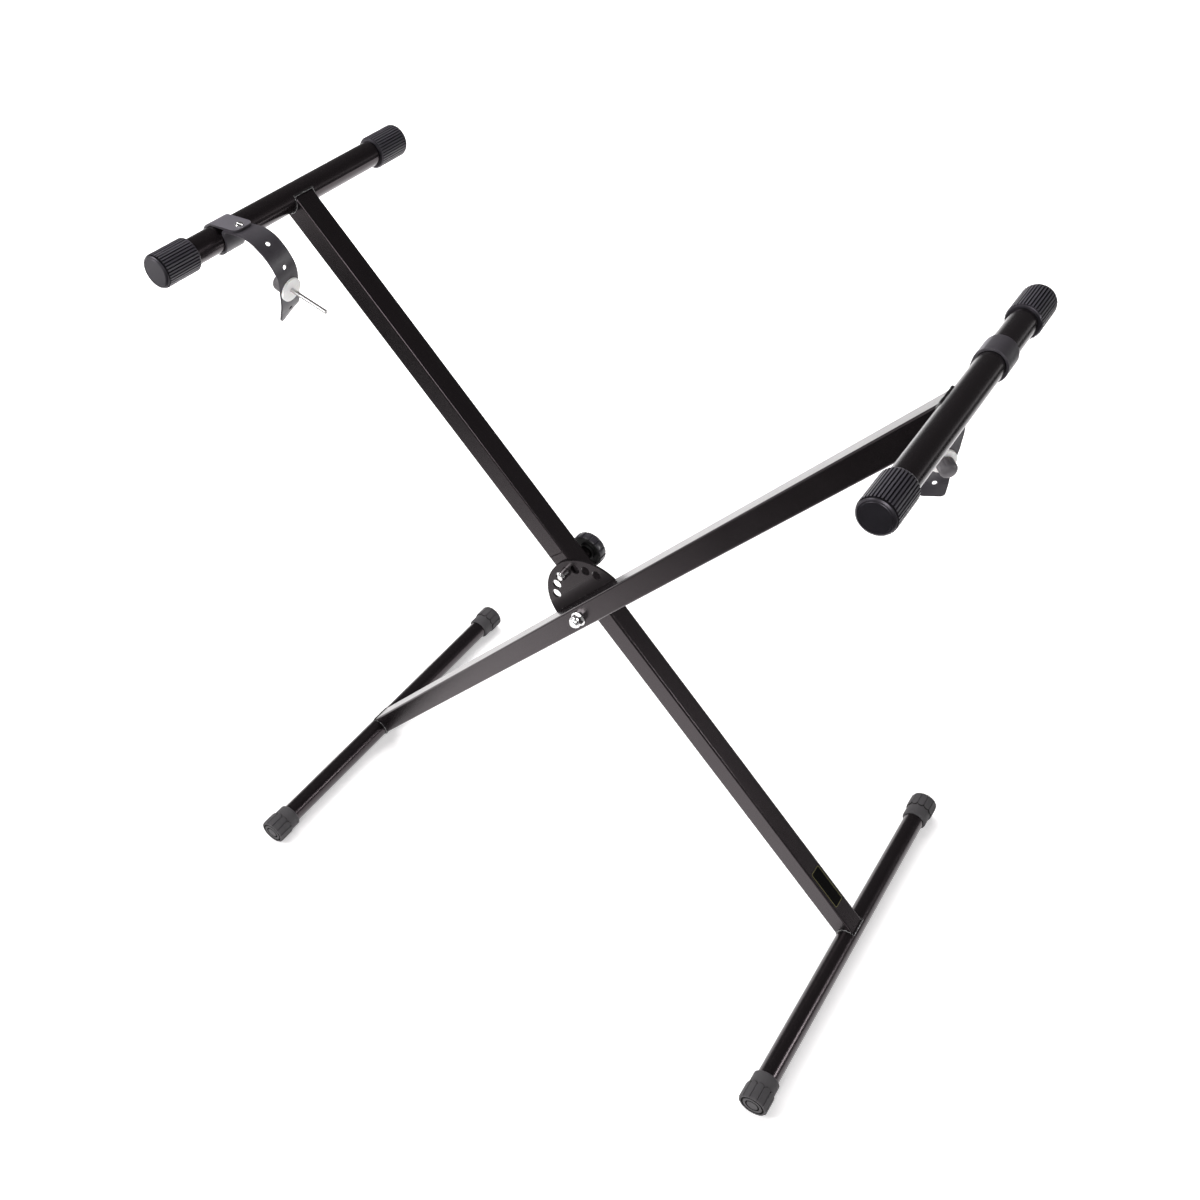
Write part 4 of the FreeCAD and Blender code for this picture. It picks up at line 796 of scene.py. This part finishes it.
def make_strap(name, side, place, turn, sway, bends, twists):
    """A strap, punched flat and then wound round its tube."""
    whole = loop_length + tail_length
    rivet = loop_length + rivet_place - tail_start
    deselect_all()
    bpy.ops.mesh.primitive_grid_add(x_subdivisions=180, y_subdivisions=12, size=1,
                                    location=(whole / 2, 0, -strap_thickness / 2))
    strip = bpy.context.object
    strip.name = name
    strip.scale = (whole + strip_margin, strap_width + strip_margin, 1)
    bpy.ops.object.transform_apply(location=True, rotation=True, scale=True)
    bpy.ops.object.mode_set(mode="EDIT")
    bpy.ops.mesh.select_all(action="SELECT")
    bpy.ops.mesh.extrude_region_move(TRANSFORM_OT_translate={"value": (0, 0, strap_thickness)})
    bpy.ops.mesh.select_all(action="SELECT")
    bpy.ops.mesh.normals_make_consistent(inside=False)
    bpy.ops.object.mode_set(mode="OBJECT")
    bpy.ops.mesh.primitive_cube_add(size=1, location=(whole / 2, 0, 0))
    outline = bpy.context.object
    outline.scale = (whole, strap_width, 0.01)
    bpy.ops.object.transform_apply(location=True, rotation=True, scale=True)
    for end, radius in ((0.0, flap_corner), (whole, tip_corner)):
        bpy.ops.object.mode_set(mode="EDIT")
        bpy.ops.mesh.select_mode(type="EDGE")
        bpy.ops.mesh.select_all(action="DESELECT")
        shape = bmesh.from_edit_mesh(outline.data)
        for edge in shape.edges:
            low, high = edge.verts[0].co, edge.verts[1].co
            upright_edge = abs(low.z - high.z) > 0.005
            edge.select_set(upright_edge and abs(low.x - end) < 0.001)
        bmesh.update_edit_mesh(outline.data)
        bpy.ops.mesh.bevel(offset=radius, segments=8, affect="EDGES")
        bpy.ops.object.mode_set(mode="OBJECT")
    punch(strip, outline, "INTERSECT")
    holes = [(flap_hole_place, rivet_hole), (rivet, rivet_hole)]
    holes += [(rivet + first, screw_hole) for first in screw_hole_places]
    for at, radius in holes:
        deselect_all()
        bpy.ops.mesh.primitive_cylinder_add(vertices=28, radius=radius, depth=0.02, location=(at, 0, 0))
        punch(strip, bpy.context.object, "DIFFERENCE")
    # The outer face of the flap takes the paler material, a painted sheen.
    for polygon in strip.data.polygons:
        on_flap = pale_margin < polygon.center.x < flap_length + pale_overrun
        polygon.material_index = 1 if on_flap and polygon.center.z < 0 else 0
    tail = tail_places(side, sway, bends, twists)
    placement = Matrix.Translation((-side * half_span, place, top_height)) @ Matrix.Rotation(turn, 4, "Y")
    for vertex in strip.data.vertices:
        distance, wide, deep = vertex.co
        if distance < loop_length:
            middle, left = loop_place(distance)
            point = middle + left * deep
            point = Vector((side * point.x, wide, point.z))
        else:
            gone = distance - loop_length
            index = min(range(len(tail)), key=lambda number: abs(tail[number][0] - gone))
            at, middle, along, across, inner = tail[index]
            point = middle + along * (gone - at) + across * wide - inner * deep
        vertex.co = placement @ point
    deselect_all()
    strip.select_set(True)
    bpy.context.view_layer.objects.active = strip
    bpy.ops.object.mode_set(mode="EDIT")
    bpy.ops.mesh.select_all(action="SELECT")
    bpy.ops.mesh.remove_doubles(threshold=0.00001)
    bpy.ops.mesh.normals_make_consistent(inside=False)
    bpy.ops.object.mode_set(mode="OBJECT")
    edge = strip.modifiers.new("rounded_edges", "BEVEL")
    edge.width = edge_round
    edge.segments = 2
    edge.limit_method = "ANGLE"
    edge.angle_limit = math.radians(50)
    bpy.ops.object.modifier_apply(modifier=edge.name)
    bpy.ops.object.shade_smooth_by_angle(angle=math.radians(35))
    return strip


strap_rubber, tree, shader = new_material("calendered_strap_rubber")
place = add_node(tree, "TexCoord").outputs["Object"]
bloom = add_node(tree, "TexNoise", {"Vector": place, "Scale": 1 / 0.015, "Detail": 4.0})
tone = add_node(tree, "ValToRGB", {"Fac": bloom.outputs["Fac"]})
tone.color_ramp.elements[0].color = linear("#343136")
tone.color_ramp.elements[1].color = linear("#403d42")
tree.links.new(tone.outputs["Color"], shader.inputs["Base Color"])
rough = add_node(tree, "MapRange", {"Value": bloom.outputs["Fac"], "To Min": 0.36, "To Max": 0.46})
tree.links.new(rough.outputs["Result"], shader.inputs["Roughness"])
grain = add_node(tree, "TexNoise", {"Vector": place, "Scale": 1 / 0.0007, "Detail": 2.0})
relief = add_node(tree, "Bump", {"Height": grain.outputs["Fac"], "Strength": 0.12, "Distance": 0.0002})
tree.links.new(relief.outputs["Normal"], shader.inputs["Normal"])
shader.inputs["IOR"].default_value = 1.52

# Paler rubber: a painted sheen for the outer face of the flap.
painted_sheen_rubber = strap_rubber.copy()
painted_sheen_rubber.name = "strap_rubber_painted_sheen"
ramp = painted_sheen_rubber.node_tree.nodes["Color Ramp"].color_ramp
ramp.elements[0].color = linear("#545157")
ramp.elements[1].color = linear("#636067")

left_strap_place, right_strap_place = -0.0842, 0.064
left_strap = make_strap("strap_left_piece", 1, left_strap_place, 0.0, -7.0,
                        (41.6, 36.3, 28.8, 0.0, 14.9, 8.0), (-13.1, 1.3, 2.5, 0.0, 0.0, 12.0))
right_strap = make_strap("strap_right_piece", -1, right_strap_place, math.radians(-81.2), 0.0,
                         (9.1, -12.2, 4.9, 0.0, 11.0, 5.7), (4.5, 30.1, 11.3, 0.0, 16.0, -7.4))
for strap, side in ((left_strap, "left"), (right_strap, "right")):
    strap.data.materials.append(strap_rubber)
    strap.data.materials.append(painted_sheen_rubber)
    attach(strap, f"strap_{side}_unit")
    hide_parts(f"strap_{side}")
